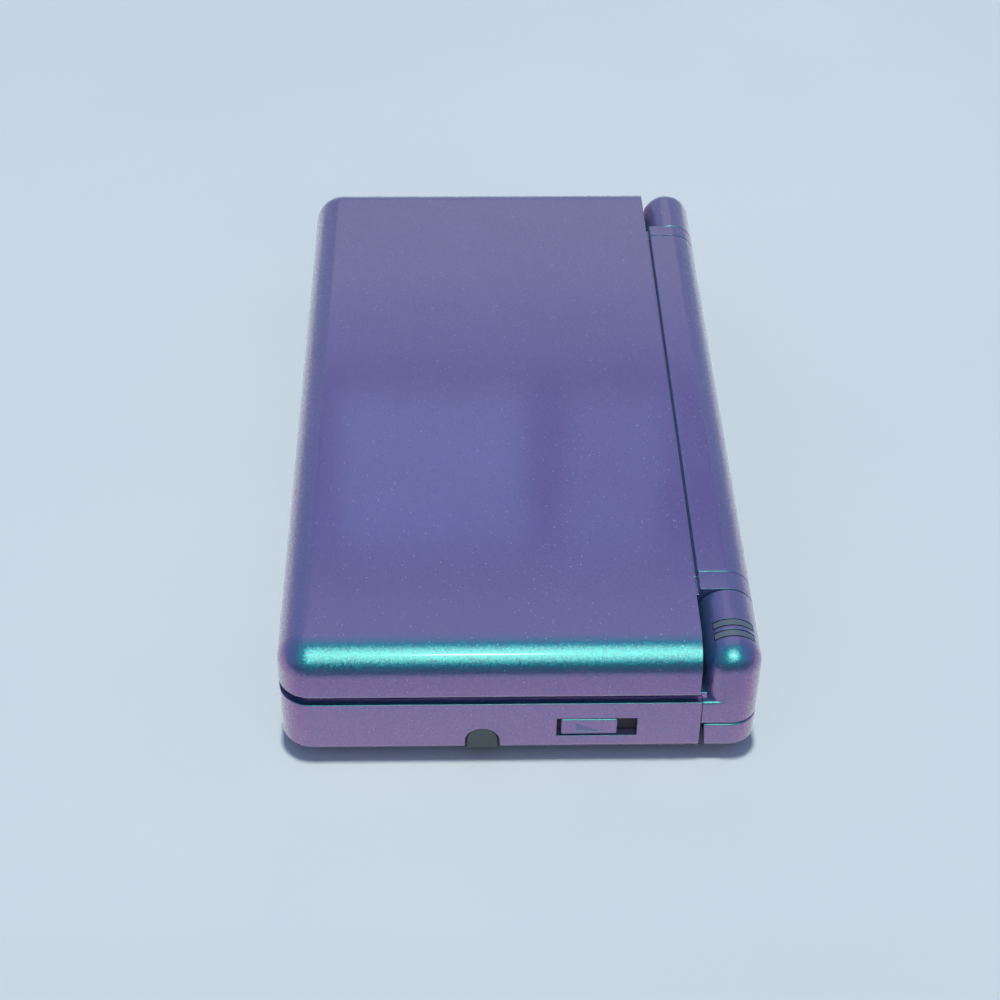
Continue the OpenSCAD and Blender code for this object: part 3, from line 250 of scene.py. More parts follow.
def dress(piece, body, stands_for, finish, crease=32):
    """Smooths and paints a finished piece, and hangs it on its body."""
    mesh = cleaned(piece.data)
    mesh.materials.clear()
    mesh.materials.append(finish)
    mesh.polygons.foreach_set("use_smooth", np.ones(len(mesh.polygons), bool))
    mesh.set_sharp_from_angle(angle=math.radians(crease))
    step = piece.modifiers.new("flat faces stay flat", "WEIGHTED_NORMAL")
    step.keep_sharp = True
    applied(piece)
    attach(piece, body)
    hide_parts(*stands_for)
    made[piece.name] = len(piece.data.polygons)
    return piece


print("pieces can be cut, rounded and dressed")

# %% [markdown]
# ## Lacquer that changes colour
# The shells are ABS plastic sprayed with an interference lacquer: flakes coated with a clear film
# a few hundred nanometres thick, in a dark blue binder under clear coat. Light that strikes a
# flake head-on comes back green blue, and at a slant the same film returns violet. A ramp on
# the viewing angle would fake this, but the shader has the real cause, a thin film on the gloss.
# Such flakes lie several deep, and one film returns little light, so a second, deeper layer is
# added to the first. The clear coat gives the small white core inside each green highlight.

# %% Colour and node helpers
def colour(hex_code):
    """sRGB hex to the linear red, green, blue, alpha that shaders use."""
    c = np.array([int(hex_code[i : i + 2], 16) for i in (1, 3, 5)]) / 255
    linear = np.where(c <= 0.04045, c / 12.92, ((c + 0.055) / 1.055) ** 2.4)
    return (*linear.tolist(), 1.0)


def add(tree, kind, settings=(), **inputs):
    """Adds a node. settings are its properties; inputs are values or the outputs to link, and an
    input's name may use _ for a space, or inN for the N-th socket."""
    node = tree.nodes.new(kind)
    for key, value in dict(settings).items():
        setattr(node, key, value)
    for key, value in inputs.items():
        by_number = key.startswith("in") and key[2:].isdigit()
        socket = node.inputs[int(key[2:]) if by_number else key.replace("_", " ")]
        if isinstance(value, bpy.types.NodeSocket):
            tree.links.new(value, socket)
        else:
            socket.default_value = value
    return node


def material(name):
    """An empty node material, its tree and its object coordinates in metres."""
    made_of = bpy.data.materials.new(name)
    made_of.use_nodes = True
    tree = made_of.node_tree
    tree.nodes.clear()
    where = add(tree, "ShaderNodeTexCoord").outputs["Object"]
    return made_of, tree, where


def surface(tree, **inputs):
    """The shader and its output."""
    shader = add(tree, "ShaderNodeBsdfPrincipled", **inputs)
    add(tree, "ShaderNodeOutputMaterial", Surface=shader.outputs[0])
    return shader


def ramp(tree, factor, stops):
    """A colour ramp from (position, hex) stops."""
    node = add(tree, "ShaderNodeValToRGB", Fac=factor)
    while len(node.color_ramp.elements) < len(stops):
        node.color_ramp.elements.new(0.5)
    for element, (position, hex_code) in zip(node.color_ramp.elements, stops):
        element.position, element.color = position, colour(hex_code)
    return node.outputs["Color"]


def noise(tree, where, size_mm, detail=3.0, rough=0.5):
    """Soft noise whose features are about size_mm across."""
    settings = dict(Vector=where, Scale=1 / (size_mm * MM), Detail=detail, Roughness=rough)
    return add(tree, "ShaderNodeTexNoise", **settings).outputs["Fac"]


print("white is", colour("#ffffff"))

# %% Interference lacquer
FLAKE_MM = 0.13
PAINTED_GLINT_ABOVE = 0.9975
FLAKE_IOR, FILM_IOR, FILM_NM = 2.2, 1.75, 424.0
BINDER_DEEP, BINDER_PALE = "#284a68", "#2d506f"
PAINTED_GLINT = "#9db4d0"
BLACK = (0, 0, 0, 1)


def vector_maths(tree, operation, first, **inputs):
    """Vector result of one operation on its first input."""
    step = {"operation": operation}
    return add(tree, "ShaderNodeVectorMath", step, in0=first, **inputs).outputs[0]


def mixed(tree, factor, first, second):
    """The first colour where factor is 0, the second where it is 1."""
    step = {"data_type": "RGBA"}
    return add(tree, "ShaderNodeMix", step, in0=factor, in6=first, in7=second).outputs[2]


def lacquer(name, rough, tilt, edge_mm=0.12):
    """Sprayed interference lacquer. Flakes are Voronoi cells, each tilted its own way, and a few
    cells get a pale base colour as painted glints. Real flakes are 0.03 mm; they are drawn larger
    so they show."""
    made_of, tree, where = material(name)
    cells = add(tree, "ShaderNodeTexVoronoi", Vector=where, Scale=1 / (FLAKE_MM * MM))
    lean = vector_maths(tree, "SUBTRACT", cells.outputs["Color"], in1=(0.5, 0.5, 0.5))
    lean = vector_maths(tree, "SCALE", lean, Scale=tilt)
    rounded = add(tree, "ShaderNodeBevel", {"samples": 4}, Radius=edge_mm * MM).outputs[0]
    normal = vector_maths(tree, "ADD", rounded, in1=lean)
    normal = vector_maths(tree, "NORMALIZE", normal)
    draw = add(tree, "ShaderNodeSeparateColor", Color=cells.outputs["Color"]).outputs[0]
    body = ramp(tree, noise(tree, where, 22), [(0.3, BINDER_DEEP), (0.7, BINDER_PALE)])
    # A few random cells get a pale base colour: painted glints of flakes catching the light
    painted_glint = add(tree, "ShaderNodeMath", {"operation": "GREATER_THAN"}, in0=draw, in1=PAINTED_GLINT_ABOVE)
    flakes = {
        "Roughness": rough,
        "IOR": FLAKE_IOR,
        "Normal": normal,
        "Thin_Film_Thickness": FILM_NM,
        "Thin_Film_IOR": FILM_IOR,
    }
    deeper = add(tree, "ShaderNodeBsdfPrincipled", Base_Color=BLACK, **flakes)
    upper = add(
        tree,
        "ShaderNodeBsdfPrincipled",
        Base_Color=mixed(tree, painted_glint.outputs[0], body, colour(PAINTED_GLINT)),
        Coat_Weight=1.0,
        Coat_Roughness=0.08,
        Coat_IOR=1.5,
        Coat_Normal=rounded,
        **flakes,
    )
    lost = add(tree, "ShaderNodeFresnel", IOR=FLAKE_IOR)
    seen = add(tree, "ShaderNodeMixShader", Fac=lost.outputs[0], in1=deeper.outputs[0])
    both = add(tree, "ShaderNodeAddShader", in0=upper.outputs[0], in1=seen.outputs[0])
    add(tree, "ShaderNodeOutputMaterial", Surface=both.outputs[0])
    return made_of


shell_lacquer = lacquer("interference_lacquer_on_ABS", rough=0.33, tilt=0.25)
face_lacquer = lacquer("satin_interference_lacquer_on_ABS", rough=0.4, tilt=0.2)
print("lacquers:", shell_lacquer.name, face_lacquer.name)

# %% [markdown]
# ## The lid
# The lid is a shallow tray turned upside down: straight sides, a 5 mm radius round the top on
# three sides, and a square back where it meets the hinge. One profile carried round a U-shaped
# outline gives the outside, a smaller one gives the hollow, and the difference is the shell.
# The hinge barrel is moulded in one piece with it: a round bar with a flat that runs to a narrow
# groove, so its outline is pushed along X and joined on.

# %% Sizes shared by the pieces
half_w, half_d = 66.5, 36.95
base_z, floor_z, rim_z = 0.7, 1.9, 11.2
face_under, face_z = 10.3, 11.5
plate_w, plate_d = 65, 35.45
lid_z, lid_top, lid_back = 12.1, 21.5, 27.5
bezel_under, bezel_over = 12.7, 14.1
hinge_y, hinge_z, barrel_r = 32.45, 16.4, 4.5
barrel_x = (-49.3, 47.65)
wall, shoulder_x, shoulder_y = 1.4, 44.4, 27.95
right_knuckle, left_knuckle = 51.8, -52.7
front_corner_r, inner_corner_r, back_corner_r = 5.2, 3.8, 4.2
lid_edge_r, table_edge_r = 5.0, 1.5
hinge_axis, pin_bore_r = (0, hinge_y, hinge_z), 3.05
lid_screws_at = [(x, y) for x in (-58, 58) for y in (-30, 20)]
base_screws_at = ((60.8, -31.4), (-60.8, -31.4), (60.8, 24.6), (-60.8, 24.6), (-34, 33))
feet_at = ((39.6, 31.2), (-39.6, 31.2), (56, -26), (-56, -26))
dpad_at = (-49, 4)
action_at = {"right": (57.2, 6.0), "front": (49.0, -2.2), "back": (49.0, 14.2), "left": (40.8, 6.0)}
menu_at = {"start": (44, -14.5), "select": (44, -21.5)}
action_r, menu_r, button_play = 3.5, 1.8, 0.15


def u_outline(x, front, back, radius):
    """Outline of a tray from its square back end round the rounded front, and its normals. The
    two back corners keep the side's normal, so the profile moves them along the back only."""
    corners = [(-x, back), (-x, front), (x, front), (x, back)]
    points, normals = outline(corners, [0, radius, radius, 0])
    normals[0], normals[-1] = (-1, 0), (1, 0)
    return points, normals


print("lid height", lid_top - lid_z, "mm")

# %% Lid cover
def top_rows(profile):
    """The upper half of a wall profile: only the rows of its top edge."""
    return profile[len(profile) // 2 :]


lid_wall = wall_profile(lid_z, lid_top, 0.7, lid_edge_r, 16)
lid_cover = slab("lid_cover", *u_outline(half_w, -half_d, lid_back, front_corner_r), lid_wall)
bevelled(lid_cover, 0.35, 3, 50)
inner = u_outline(half_w - wall, wall - half_d, lid_back - wall, inner_corner_r)
hollow = slab("hollow", *inner, [(0, 0), (0, 16), *top_rows(wall_profile(10, 20.3, 0.1, 3.6))])
combine(lid_cover, [hollow])
groove_edge = arc((28.5, 20.6), 0.3, 180, 90, 4)
barrel = np.concatenate(
    [
        [(27.0, 14.3), (27.0, 19.7), (28.2, 19.7)],
        groove_edge,
        arc((hinge_y, hinge_z), barrel_r, 90, -152.2, 60),
    ]
)
hinge_barrel = bevelled(prism("hinge_barrel", barrel, 0, *barrel_x), 0.2, 3, 40)
lid_bosses = [rod("boss", 2.2, 14.75, 20.5, (*at, 0)) for at in lid_screws_at]
combine(lid_cover, [hinge_barrel, *lid_bosses], "UNION")
bore = rod("bore", pin_bore_r, -60, 60, hinge_axis, 0)
arm_gaps = ((left_knuckle, barrel_x[0]), (barrel_x[1], right_knuckle))
notches = [block("notch", x, (26.0, hinge_y), (bezel_under, 19.8)) for x in arm_gaps]
cable_slot = block("slot", (23.6, 33.4), (25.1, 30.45), (16.5, 17.5))
sound_hole = rod("hole", 0.6, 3.0, 8, segments=24)
to_barrel = Matrix.Translation((0, hinge_y * MM, hinge_z * MM))
sound_hole.data.transform(to_barrel @ Matrix.Rotation(math.radians(135), 4, "X"))
combine(lid_cover, [bore, *notches, cable_slot, sound_hole])
dress(lid_cover, "lid", ["lid_outer_shell"], shell_lacquer)
print("lid cover faces:", made["lid_cover"])

# %% [markdown]
# ## The screen bezel and its two arms
# The inner half of the lid is a flat bezel with the screen window. Two arms reach back from it
# and end in rings that turn on the hinge pins, so the lid hangs on the bezel, not on the cover.

# %% Lid bezel
def rounded_box(name, x, y, z, radius, edge=0.0):
    """Rounded rectangle seen from above, with its top and bottom edges rounded."""
    corners = [(x[0], y[0]), (x[1], y[0]), (x[1], y[1]), (x[0], y[1])]
    profile = wall_profile(*z, edge, edge, 4) if edge else [(0, z[0]), (0, z[1])]
    return slab(name, *outline(corners, [radius] * 4), profile)


bezel_z = (bezel_under, bezel_over)
bezel = rounded_box("lid_bezel", (-plate_w, plate_w), (-plate_d, 26.0), bezel_z, 3.0, 0.25)
frame_walls = block("frame", (-35.6, 35.6), (-32.1, 23.1), (14.0, 16.1))
combine(frame_walls, [block("in", (-34.65, 34.65), (-31.15, 22.15), (12, 18))])
arm = np.concatenate(
    [
        [(23.6, bezel_under), (23.6, 19.7), (28.2, 19.7)],
        groove_edge,
        arc((hinge_y, hinge_z), barrel_r, 90, -145.3, 60),
        [(28.75, bezel_under)],
    ]
)
arm_x = ((-52.6, -49.4), (47.75, 51.7))
arms = [bevelled(prism("arm", arm, 0, *x), 0.15, 2, 40) for x in arm_x]
collars = [rod("collar", 2.5, bezel_under, 14.7, (*at, 0)) for at in lid_screws_at]
combine(bezel, [frame_walls, *arms, *collars], "UNION")
window = rounded_box("window", (-31, 31), (-28, 19), (12, 18), 0.6)
lens_seat = rounded_box("lens_seat", (-33.1, 33.1), (-30.1, 21.1), (12, 13.5), 0.8)
speaker_x, speaker_y = (-50, 50), -4.5
grille = [(dx, speaker_y + dy, 0) for dx in (-1.7, 1.7) for dy in (-3.4, 0, 3.4)]
sound_at = [(x + dx, y, z) for x in speaker_x for dx, y, z in grille]
sound = [rod("hole", 0.8, 12, 15, at, segments=32) for at in sound_at]
head_rows = [(0, 12), (2.25, 12), (2.25, 13.1), (1.7, 13.1), (1.7, 13.9)]
well_rows = [*head_rows, (0.85, 13.9), (0.85, 20), (0, 20)]
screw_wells = [turned("well", well_rows, (*at, 0)) for at in lid_screws_at]
ring_bore = rod("bore", pin_bore_r, 40, 60, hinge_axis, 0)
key = 2.13
key_y, key_z = (hinge_y - key, hinge_y + key), (hinge_z - key, hinge_z + key)
key_bore = block("key", (-60, -40), key_y, key_z)
combine(bezel, [window, lens_seat, *sound, *screw_wells, ring_bore, key_bore])
dress(bezel, "lid", ["lid_inner_shell"], face_lacquer)
print("bezel faces:", made["lid_bezel"])

# %% [markdown]
# ## The base tray
# The lower half is a tray too, with a 1.5 mm radius along the table. Its back corners are cut
# away for the two shoulder buttons, so a narrower strip carries on to the back. Every opening
# of the real case is cut: the stylus bay, the switch slots, the sockets and both card slots.

# %% Base tray
tray_wall = wall_profile(base_z, rim_z - 0.3, table_edge_r, 0.1, 10)
tray = slab("base_tray", *u_outline(half_w, -half_d, shoulder_y, front_corner_r), tray_wall)
back_shape = np.concatenate(
    [
        [(20.0, base_z)],
        arc((half_d - table_edge_r, base_z + table_edge_r), table_edge_r, -90, 0, 10),
        arc((half_d - 0.5, rim_z - 0.5), 0.5, 0, 90, 5),
        [(20.0, rim_z)],
    ]
)
combine(tray, [prism("back_strip", back_shape, 0, -44.1, 44.1)], "UNION")
inner = u_outline(half_w - wall, wall - half_d, 27.9, inner_corner_r)
inside = slab("inside", *inner, [(0, floor_z), (0, 14)])
inside_back = block("inside", (-44.2, 44.2), (27.0, half_d - wall), (floor_z, 14))
front_slot = block("front_slot", (-29.25, 29.25), (-40, -12.95), (1.5, 7.4))
power_slot = block("power_slot", (63, 70), (5.75, 18.2), (3.85, 7.65))
volume_slot = block("volume_slot", (-53, -41), (-40, -34), (3.2, 4.8))
stylus_bay = np.concatenate([[(-8.42, -1.0), (-2.98, -1.0)], arc((-5.7, 2.8), 2.72, 0, 180, 20)])
stylus_cut = prism("stylus_cut", stylus_bay, 0, 59.9, 70)
jack_hole = rod("jack_hole", 2.55, -40, -34, (47, 0, 4.7), 1)
card_cut = block("card_cut", (1.3, 34.9), (34, 40), (2.5, 7.0))
socket_cut = block("socket_cut", (-25.2, -18.8), (34, 40), (2.75, 4.75))
cover_shape = block("cover_cut", (-41.99, -0.11), (-3.14, 27.74), (-1, 2.8))
cover_tab = rod("cover_tab", 2.75, -1, 2.8, (-44.05, 12.3, 0))
well_rows = [(0, -1), (1.75, -1), (1.75, 1.7), (0.85, 1.7), (0.85, 3), (0, 3)]
wells = [turned("well", well_rows, (*at, 0)) for at in base_screws_at]
foot_wells = [rod("well", 2.65, -1, 1.1, (*at, 0)) for at in feet_at]
openings = [front_slot, power_slot, volume_slot, stylus_cut, jack_hole, card_cut, socket_cut]
combine(tray, [inside, inside_back, *openings, cover_shape, cover_tab, *wells, *foot_wells])
dress(tray, "base", ["base_lower_shell"], shell_lacquer)
print("tray faces:", made["base_tray"])

# %% [markdown]
# ## The control face and the hinge knuckles
# The upper half of the base is the plate with all the controls. It carries two knuckles that the
# lid turns between. A knuckle has a square foot, a half-round top and an outer end rounded like
# a fingertip: its half width w(x) shrinks along a quarter circle, and every section is the same
# arch scaled to that width. That makes the whole knuckle one grid over x and the arch.

# %% Control face
tip_len, tip_w = 3.9, 0.6


def knuckle(name, inner, outer):
    """Arch with half width w(x): up the side at y + w, round the top, down at y - w. Over the last
    3.9 mm w falls from 4.5 to 0.6 along a quarter circle."""
    sign = np.sign(outer - inner)
    a = np.radians(np.linspace(0, 90, 21))
    tip_x = outer - sign * (tip_len - tip_len * np.sin(a))
    x = np.concatenate([[inner, inner + sign * 0.15], tip_x])
    w = np.concatenate([[barrel_r - 0.15, barrel_r], tip_w + tip_len * np.cos(a)])
    t = np.radians(np.linspace(0, 180, 41))
    across = np.concatenate([[1.0], np.cos(t), [-1.0]])
    above = np.concatenate([[0.0], np.sin(t), [0.0]])
    y, z = hinge_y + w[:, None] * across, hinge_z + w[:, None] * above
    rings = np.stack([x[:, None] + 0 * across, y, z], -1)
    rings[:, [0, -1], 2] = face_under + 0.05
    return ring_stack(name, rings)


def corner_block(name, side):
    """The wall above a shoulder button: a profile carried round the back corner of the case."""
    corners = np.array([(44.3, 28.07), (half_w, 28.07), (half_w, half_d), (44.3, half_d)])
    points, normals = outline(corners, [0, 0, back_corner_r, 0])
    normals[1], normals[-1] = (1, 0), (0, 1)
    profile = wall_profile(6.4, 10.9, 0.1, 0.5, 6)
    piece = slab(name, points * (side, 1), normals * (side, 1), profile)
    x = sorted((side * 44.0, side * (half_w - wall)))
    return combine(piece, [block("in", x, (20, half_d - wall), (5, face_under))])


plate_y, plate_z = (-plate_d, plate_d), (face_under, face_z)
plate = rounded_box("control_face", (-plate_w, plate_w), plate_y, plate_z, 3.4, 0.2)
knuckles = [knuckle("k", right_knuckle, half_w), knuckle("k", left_knuckle, -half_w)]
combine(plate, [*knuckles, corner_block("c", 1), corner_block("c", -1)], "UNION")
screen = outline([(-31, -27), (31, -27), (31, 20), (-31, 20)], [0.6] * 4)
screen_hole = slab("window", *screen, [(0, 9), (0, 11.1), (-0.4, face_z), (-0.4, 12)])


def button_hole(r, at):
    """Round hole through the plate with a chamfer 0.25 mm wide at the top."""
    wide = r + 0.25
    rows = [(0, 9), (r, 9), (r, face_z - 0.25), (wide, face_z), (wide, 12), (0, 12)]
    return turned("hole", rows, (*at, 0))


def dpad_hole(x_half, y_half):
    """Slot for one of the two bars of the direction pad."""
    x, y = dpad_at
    return block("hole", (x - x_half, x + x_half), (y - y_half, y + y_half), (9, 12))


round_holes = [button_hole(action_r + button_play, at) for at in action_at.values()]
round_holes += [button_hole(menu_r + button_play, at) for at in menu_at.values()]
cross_holes = [dpad_hole(10.3, 3.7), dpad_hole(3.7, 10.3)]
pin_x = ((50, 63.4), (-63.4, -50))
pin_bores = [rod("bore", pin_bore_r, *x, hinge_axis, 0) for x in pin_x]
light_x, light_len = (58.55, 60.9), 1.15


def light_shape(gap, inner):
    """Arc-shaped outline over the knuckle from 45 to 129 degrees, grown by gap."""
    turn = gap * 12
    outside = arc((hinge_y, hinge_z), barrel_r + 2 * gap, 45 - turn, 129 + turn, 24)
    return np.concatenate([outside, arc((hinge_y, hinge_z), inner, 129 + turn, 45 - turn, 24)])


slot_gap = 0.22
slot_x = [(x - slot_gap, x + light_len + slot_gap) for x in light_x]
light_slots = [prism("slot", light_shape(0.2, 3.2), 0, *x) for x in slot_x]
combine(plate, [screen_hole, *round_holes, *cross_holes, *pin_bores, *light_slots])
dress(plate, "base", ["base_upper_shell"], shell_lacquer)
print("control face:", made["control_face"])

# %% [markdown]
# ## Shoulder buttons
# Each shoulder button is the corner of the case itself: the same profile as the tray, carried
# round the back corner, with a slanted front so that the gap to the tray widens downwards.

# %% Shoulder buttons
shoulder_top = 6.05


def shoulder(name, side):
    """Back corner of the case between the table radius and the seam, front face slanted."""
    front, back = shoulder_y + 0.6, half_d
    corners = np.array([(shoulder_x, front), (half_w, front), (half_w, back), (shoulder_x, back)])
    points, normals = outline(corners, [0, 0, back_corner_r, 0])
    normals[1], normals[-1] = (1, 0), (0, 1)
    profile = wall_profile(base_z, shoulder_top, table_edge_r, 0.3, 10)
    flat = points[None] * (side, 1) - (normals * (side, 1))[None] * profile[:, :1, None]
    slant = np.interp(profile[:, 1], [base_z, shoulder_top], [0.38, 0.0])
    flat[:, :2, 1] += slant[:, None]
    height = np.broadcast_to(profile[:, 1, None, None], flat.shape[:2] + (1,))
    piece = bevelled(ring_stack(name, np.concatenate([flat, height], -1)), 0.15, 2, 50)
    x = sorted((side * 45.6, side * (half_w - wall)))
    pivot_x, hub_z = side * 42, (2.4, 4.4)
    pivot = (pivot_x, 33, 0)
    rib = block("rib", sorted((side * 55.2, side * 56.8)), (28.72, 35.5), (1.9, 4.85))
    hub = rod("hub", 1.95, *hub_z, pivot)
    link = block("link", sorted((pivot_x, side * 44.6)), (31.4, 34.6), hub_z)
    combine(piece, [block("in", x, (shoulder_y, 35.35), (2.1, 4.75))])
    combine(piece, [rib, hub, link], "UNION")
    return combine(piece, [rod("pin", 0.8, 0, 9, pivot, segments=32)])


for side, which in ((1, "right"), (-1, "left")):
    piece = shoulder(which + "_shoulder_cap", side)
    dress(piece, which + "_shoulder", [which + "_shoulder_button"], shell_lacquer)
print("shoulder cap faces:", made["right_shoulder_cap"])

# %% [markdown]
# ## Side switches and the stylus
# The power switch is a slider in a long slot, with a sunk triangle that points the way it moves;
# the triangle's floor slopes, so the film turns it blue. The stylus lies in a bay in the side and
# only the end of its cap shows: an arch that fills the bay. Its barrel and tip are turned from
# one profile.

# %% Power slider, volume slider and stylus
def knob(name, low, high, radius, steps, axis, rows):
    """Slider that stands out along axis: a rounded rectangle between two corners, drawn in by the
    inset of each row (inset, place along axis)."""
    corners = [low, (high[0], low[1]), high, (low[0], high[1])]
    points, normals = outline(corners, [radius] * 4, steps)
    rings = [np.insert(points - normals * inset, axis, at, axis=1) for inset, at in rows]
    return ring_stack(name, np.stack(rings))


knob_rows = [(0.0, 64.9), (0.0, 66.1), (0.06, 66.25), (0.14, 66.35), (0.26, 66.4)]
power = knob("power_knob", (6.4, 4.0), (15.2, 7.3), 0.3, 5, 0, knob_rows)
flange = block("flange", (63.7, 65.0), (2.8, 20.4), (3.2, 8.1))
finger = block("finger", (61.8, 63.8), (9.0, 11.4), (3.9, 5.3))
combine(power, [flange, finger], "UNION")
arrow_foot, floor_slope = 4.75, 0.2
arrow = [(8.8, arrow_foot), (12.5, arrow_foot), (8.8, 6.55)]
deep = [(66.25 - floor_slope * (z - arrow_foot), y, z) for y, z in arrow]
combine(power, [ring_stack("arrow", np.array([deep, [(68, y, z) for y, z in arrow]]))])
dress(power, "power", ["power_slider"], shell_lacquer)

knob_rows = [(0.0, -35.3), (0.0, -36.75), (0.1, -36.9), (0.2, -36.95)]
volume = knob("volume_knob", (-48.9, 3.3), (-45.1, 4.7), 0.2, 4, 1, knob_rows)
flange = block("flange", (-54, -40), (-35.45, -34.85), (2.7, 5.3))
finger = block("finger", (-48, -46), (-34.95, -33.35), (3.5, 4.5))
combine(volume, [flange, finger], "UNION")
groove_x = [-47 + dx for dx in (-0.9, 0, 0.9)]
combine(volume, [block("groove", (x - 0.15, x + 0.15), (-38, -36.75), (3, 5)) for x in groove_x])

cap = np.concatenate([[(-8.15, 0.8), (-3.25, 0.8)], arc((-5.7, 2.8), 2.45, 0, 180, 24)])
stylus = bevelled(prism("stylus_body", cap, 0, 60.2, 66.2), 0.25, 3, 40)
stylus_tip = [(0, -21.1), (0.45, -21.05), (0.75, -20.8), (0.85, -20.3)]
barrel_rows = [*stylus_tip, (1.85, -15.1), (1.85, 60.5), (0, 60.5)]
combine(stylus, [turned("barrel", barrel_rows, (0, -5.7, 3.15), 0)], "UNION")
combine(stylus, [block("notch", (58.6, 59.0), y, (0, 9)) for y in ((-9, -7.45), (-3.95, 0))])
print("switches and stylus shaped")

# %% [markdown]
# ## Buttons
# A button cap is one turned profile: stem, retaining flange, straight side, small radius and a
# slightly crowned top. The direction pad is a cross whose arms are rounded and whose middle is
# dished for the thumb.

# %% Buttons and direction pad
def button_profile(r, top, foot):
    """Rows (radius, height): stem, flange 0.75 mm wider under the plate, side, 0.3 mm edge and a
    crown that falls 0.15 mm as the square of the distance from the middle."""
    rim = arc((r - 0.3, top - 0.45), 0.3, 0, 70, 5)
    s = np.linspace(0.9, 0, 8)
    crown = np.stack([(r - 0.2) * s, top - 0.15 * s**2], 1)
    stem = [(0, foot), (r * 0.6, foot), (r * 0.6, 9.3)]
    flange = [(r + 0.75, 9.3), (r + 0.75, 10.2), (r, 10.2)]
    return np.concatenate([stem, flange, rim, crown])


arm_half, arm_end = 3.3, 9.7
quarters = [np.array([(-arm_half, -arm_end), (arm_half, -arm_end), (arm_half, -arm_half)])]
for _ in range(3):
    quarters.append(np.stack([-quarters[-1][:, 1], quarters[-1][:, 0]], 1))
cross, cross_normals = outline(np.concatenate(quarters), [0.9, 0.9, 0.5] * 4, 6)
cross_rows = [(0, 8.5), *top_rows(wall_profile(9.3, 11.9, 0.1, 0.45, 6))]
cross_body = slab("dpad_cross", cross + dpad_at, cross_normals, cross_rows)
combine(cross_body, [rod("disc", 10.6, 8.48, 9.33, (*dpad_at, 0))], "UNION")
dish_rows = np.concatenate([[(0, 13)], arc((0, 15.5), 4.0, 0, -90, 24)])
dish = turned("dish", dish_rows, (*dpad_at, 0))
ball_seat = rod("seat", 1.65, 0, 9.5, (*dpad_at, 0), segments=32)
pointer = np.array([(-0.75, 6.3), (0.75, 6.3), (0, 7.6)])
turns = [np.array([[c, s], [-s, c]]) for c, s in ((1, 0), (0, 1), (-1, 0), (0, -1))]
marks = [prism("mark", pointer @ turn + dpad_at, 2, 11.72, 13) for turn in turns]
combine(cross_body, [dish, ball_seat, *marks])
print("buttons shaped:", len(cross_body.data.polygons), "faces in the cross")

# %% [markdown]
# ## Plastics, rubber, glass and metal
# Each of these starts from what the real part is: gloss moulded buttons with a faint mottled
# surface, eroded black plastic, silicone rubber, chemically strengthened glass over a dark
# display, stamped tin-plated steel with its rolling lines, and the solder mask of a board.

# %% Materials of the small pieces
def moulded(name, base, second, rough, grain_mm, depth_mm, coat=0.0):
    """Moulded plastic or rubber: soft colour drift, and a fine eroded texture as a bump."""
    made_of, tree, where = material(name)
    drift = ramp(tree, noise(tree, where, 9), [(0.35, base), (0.65, second)])
    grain = noise(tree, where, grain_mm, 4, 0.6)
    shade = add(tree, "ShaderNodeMapRange", Value=grain, in3=rough - 0.05, in4=rough + 0.07)
    edge = add(tree, "ShaderNodeBevel", {"samples": 3}, Radius=0.08 * MM)
    bump = add(tree, "ShaderNodeBump", Height=grain, Distance=depth_mm * MM, Normal=edge.outputs[0])
    surface(
        tree,
        Base_Color=drift,
        Roughness=shade.outputs[0],
        IOR=1.5,
        Normal=bump.outputs[0],
        Coat_Weight=coat,
        Coat_Roughness=0.08,
    )
    return made_of


def metal(name, base, second, rough, line_mm, stretch=(1, 12, 1)):
    """Rolled or plated metal: brushed lines stretched along one axis drive roughness and bump."""
    made_of, tree, where = material(name)
    along = add(tree, "ShaderNodeMapping", Vector=where, Scale=stretch)
    lines = noise(tree, along.outputs[0], line_mm, 5, 0.65)
    tone = ramp(tree, lines, [(0.35, base), (0.65, second)])
    shade = add(tree, "ShaderNodeMapRange", Value=lines, in3=rough - 0.08, in4=rough + 0.1)
    bump = add(tree, "ShaderNodeBump", Height=lines, Distance=0.01 * MM)
    surface(tree, Base_Color=tone, Metallic=1.0, Roughness=shade.outputs[0], Normal=bump.outputs[0])
    return made_of


def glass(name, base, rough):
    """Strengthened glass over a dark display. Fine smears show in its gloss."""
    made_of, tree, where = material(name)
    smear = noise(tree, where, 6, 5, 0.7)
    shade = add(tree, "ShaderNodeMapRange", Value=smear, in3=rough, in4=rough + 0.06)
    surface(
        tree,
        Base_Color=colour(base),
        Roughness=shade.outputs[0],
        IOR=1.52,
        Coat_Weight=0.3,
        Coat_Roughness=0.02,
    )
    return made_of


def board_mask(name):
    """Glass epoxy board under green solder mask: fine tracks as brick joints, tinned pads."""
    made_of, tree, where = material(name)
    grid = add(
        tree,
        "ShaderNodeTexBrick",
        {"offset": 0.5},
        Vector=where,
        Color1=colour("#1e5a3c"),
        Color2=colour("#174a32"),
        Mortar=colour("#2f7a50"),
        Scale=1 / (2.4 * MM),
        Mortar_Size=0.03,
    )
    spots = add(tree, "ShaderNodeTexVoronoi", Vector=where, Scale=1 / (2.0 * MM))
    away = spots.outputs["Distance"]
    pad = add(tree, "ShaderNodeMath", {"operation": "LESS_THAN"}, in0=away, in1=0.16)
    bump = add(tree, "ShaderNodeBump", Height=grid.outputs["Fac"], Distance=0.03 * MM)
    surface(
        tree,
        Base_Color=mixed(tree, pad.outputs[0], grid.outputs["Color"], colour("#b9b6a4")),
        Roughness=0.35,
        Normal=bump.outputs[0],
        Coat_Weight=0.4,
        Coat_Roughness=0.15,
    )
    return made_of


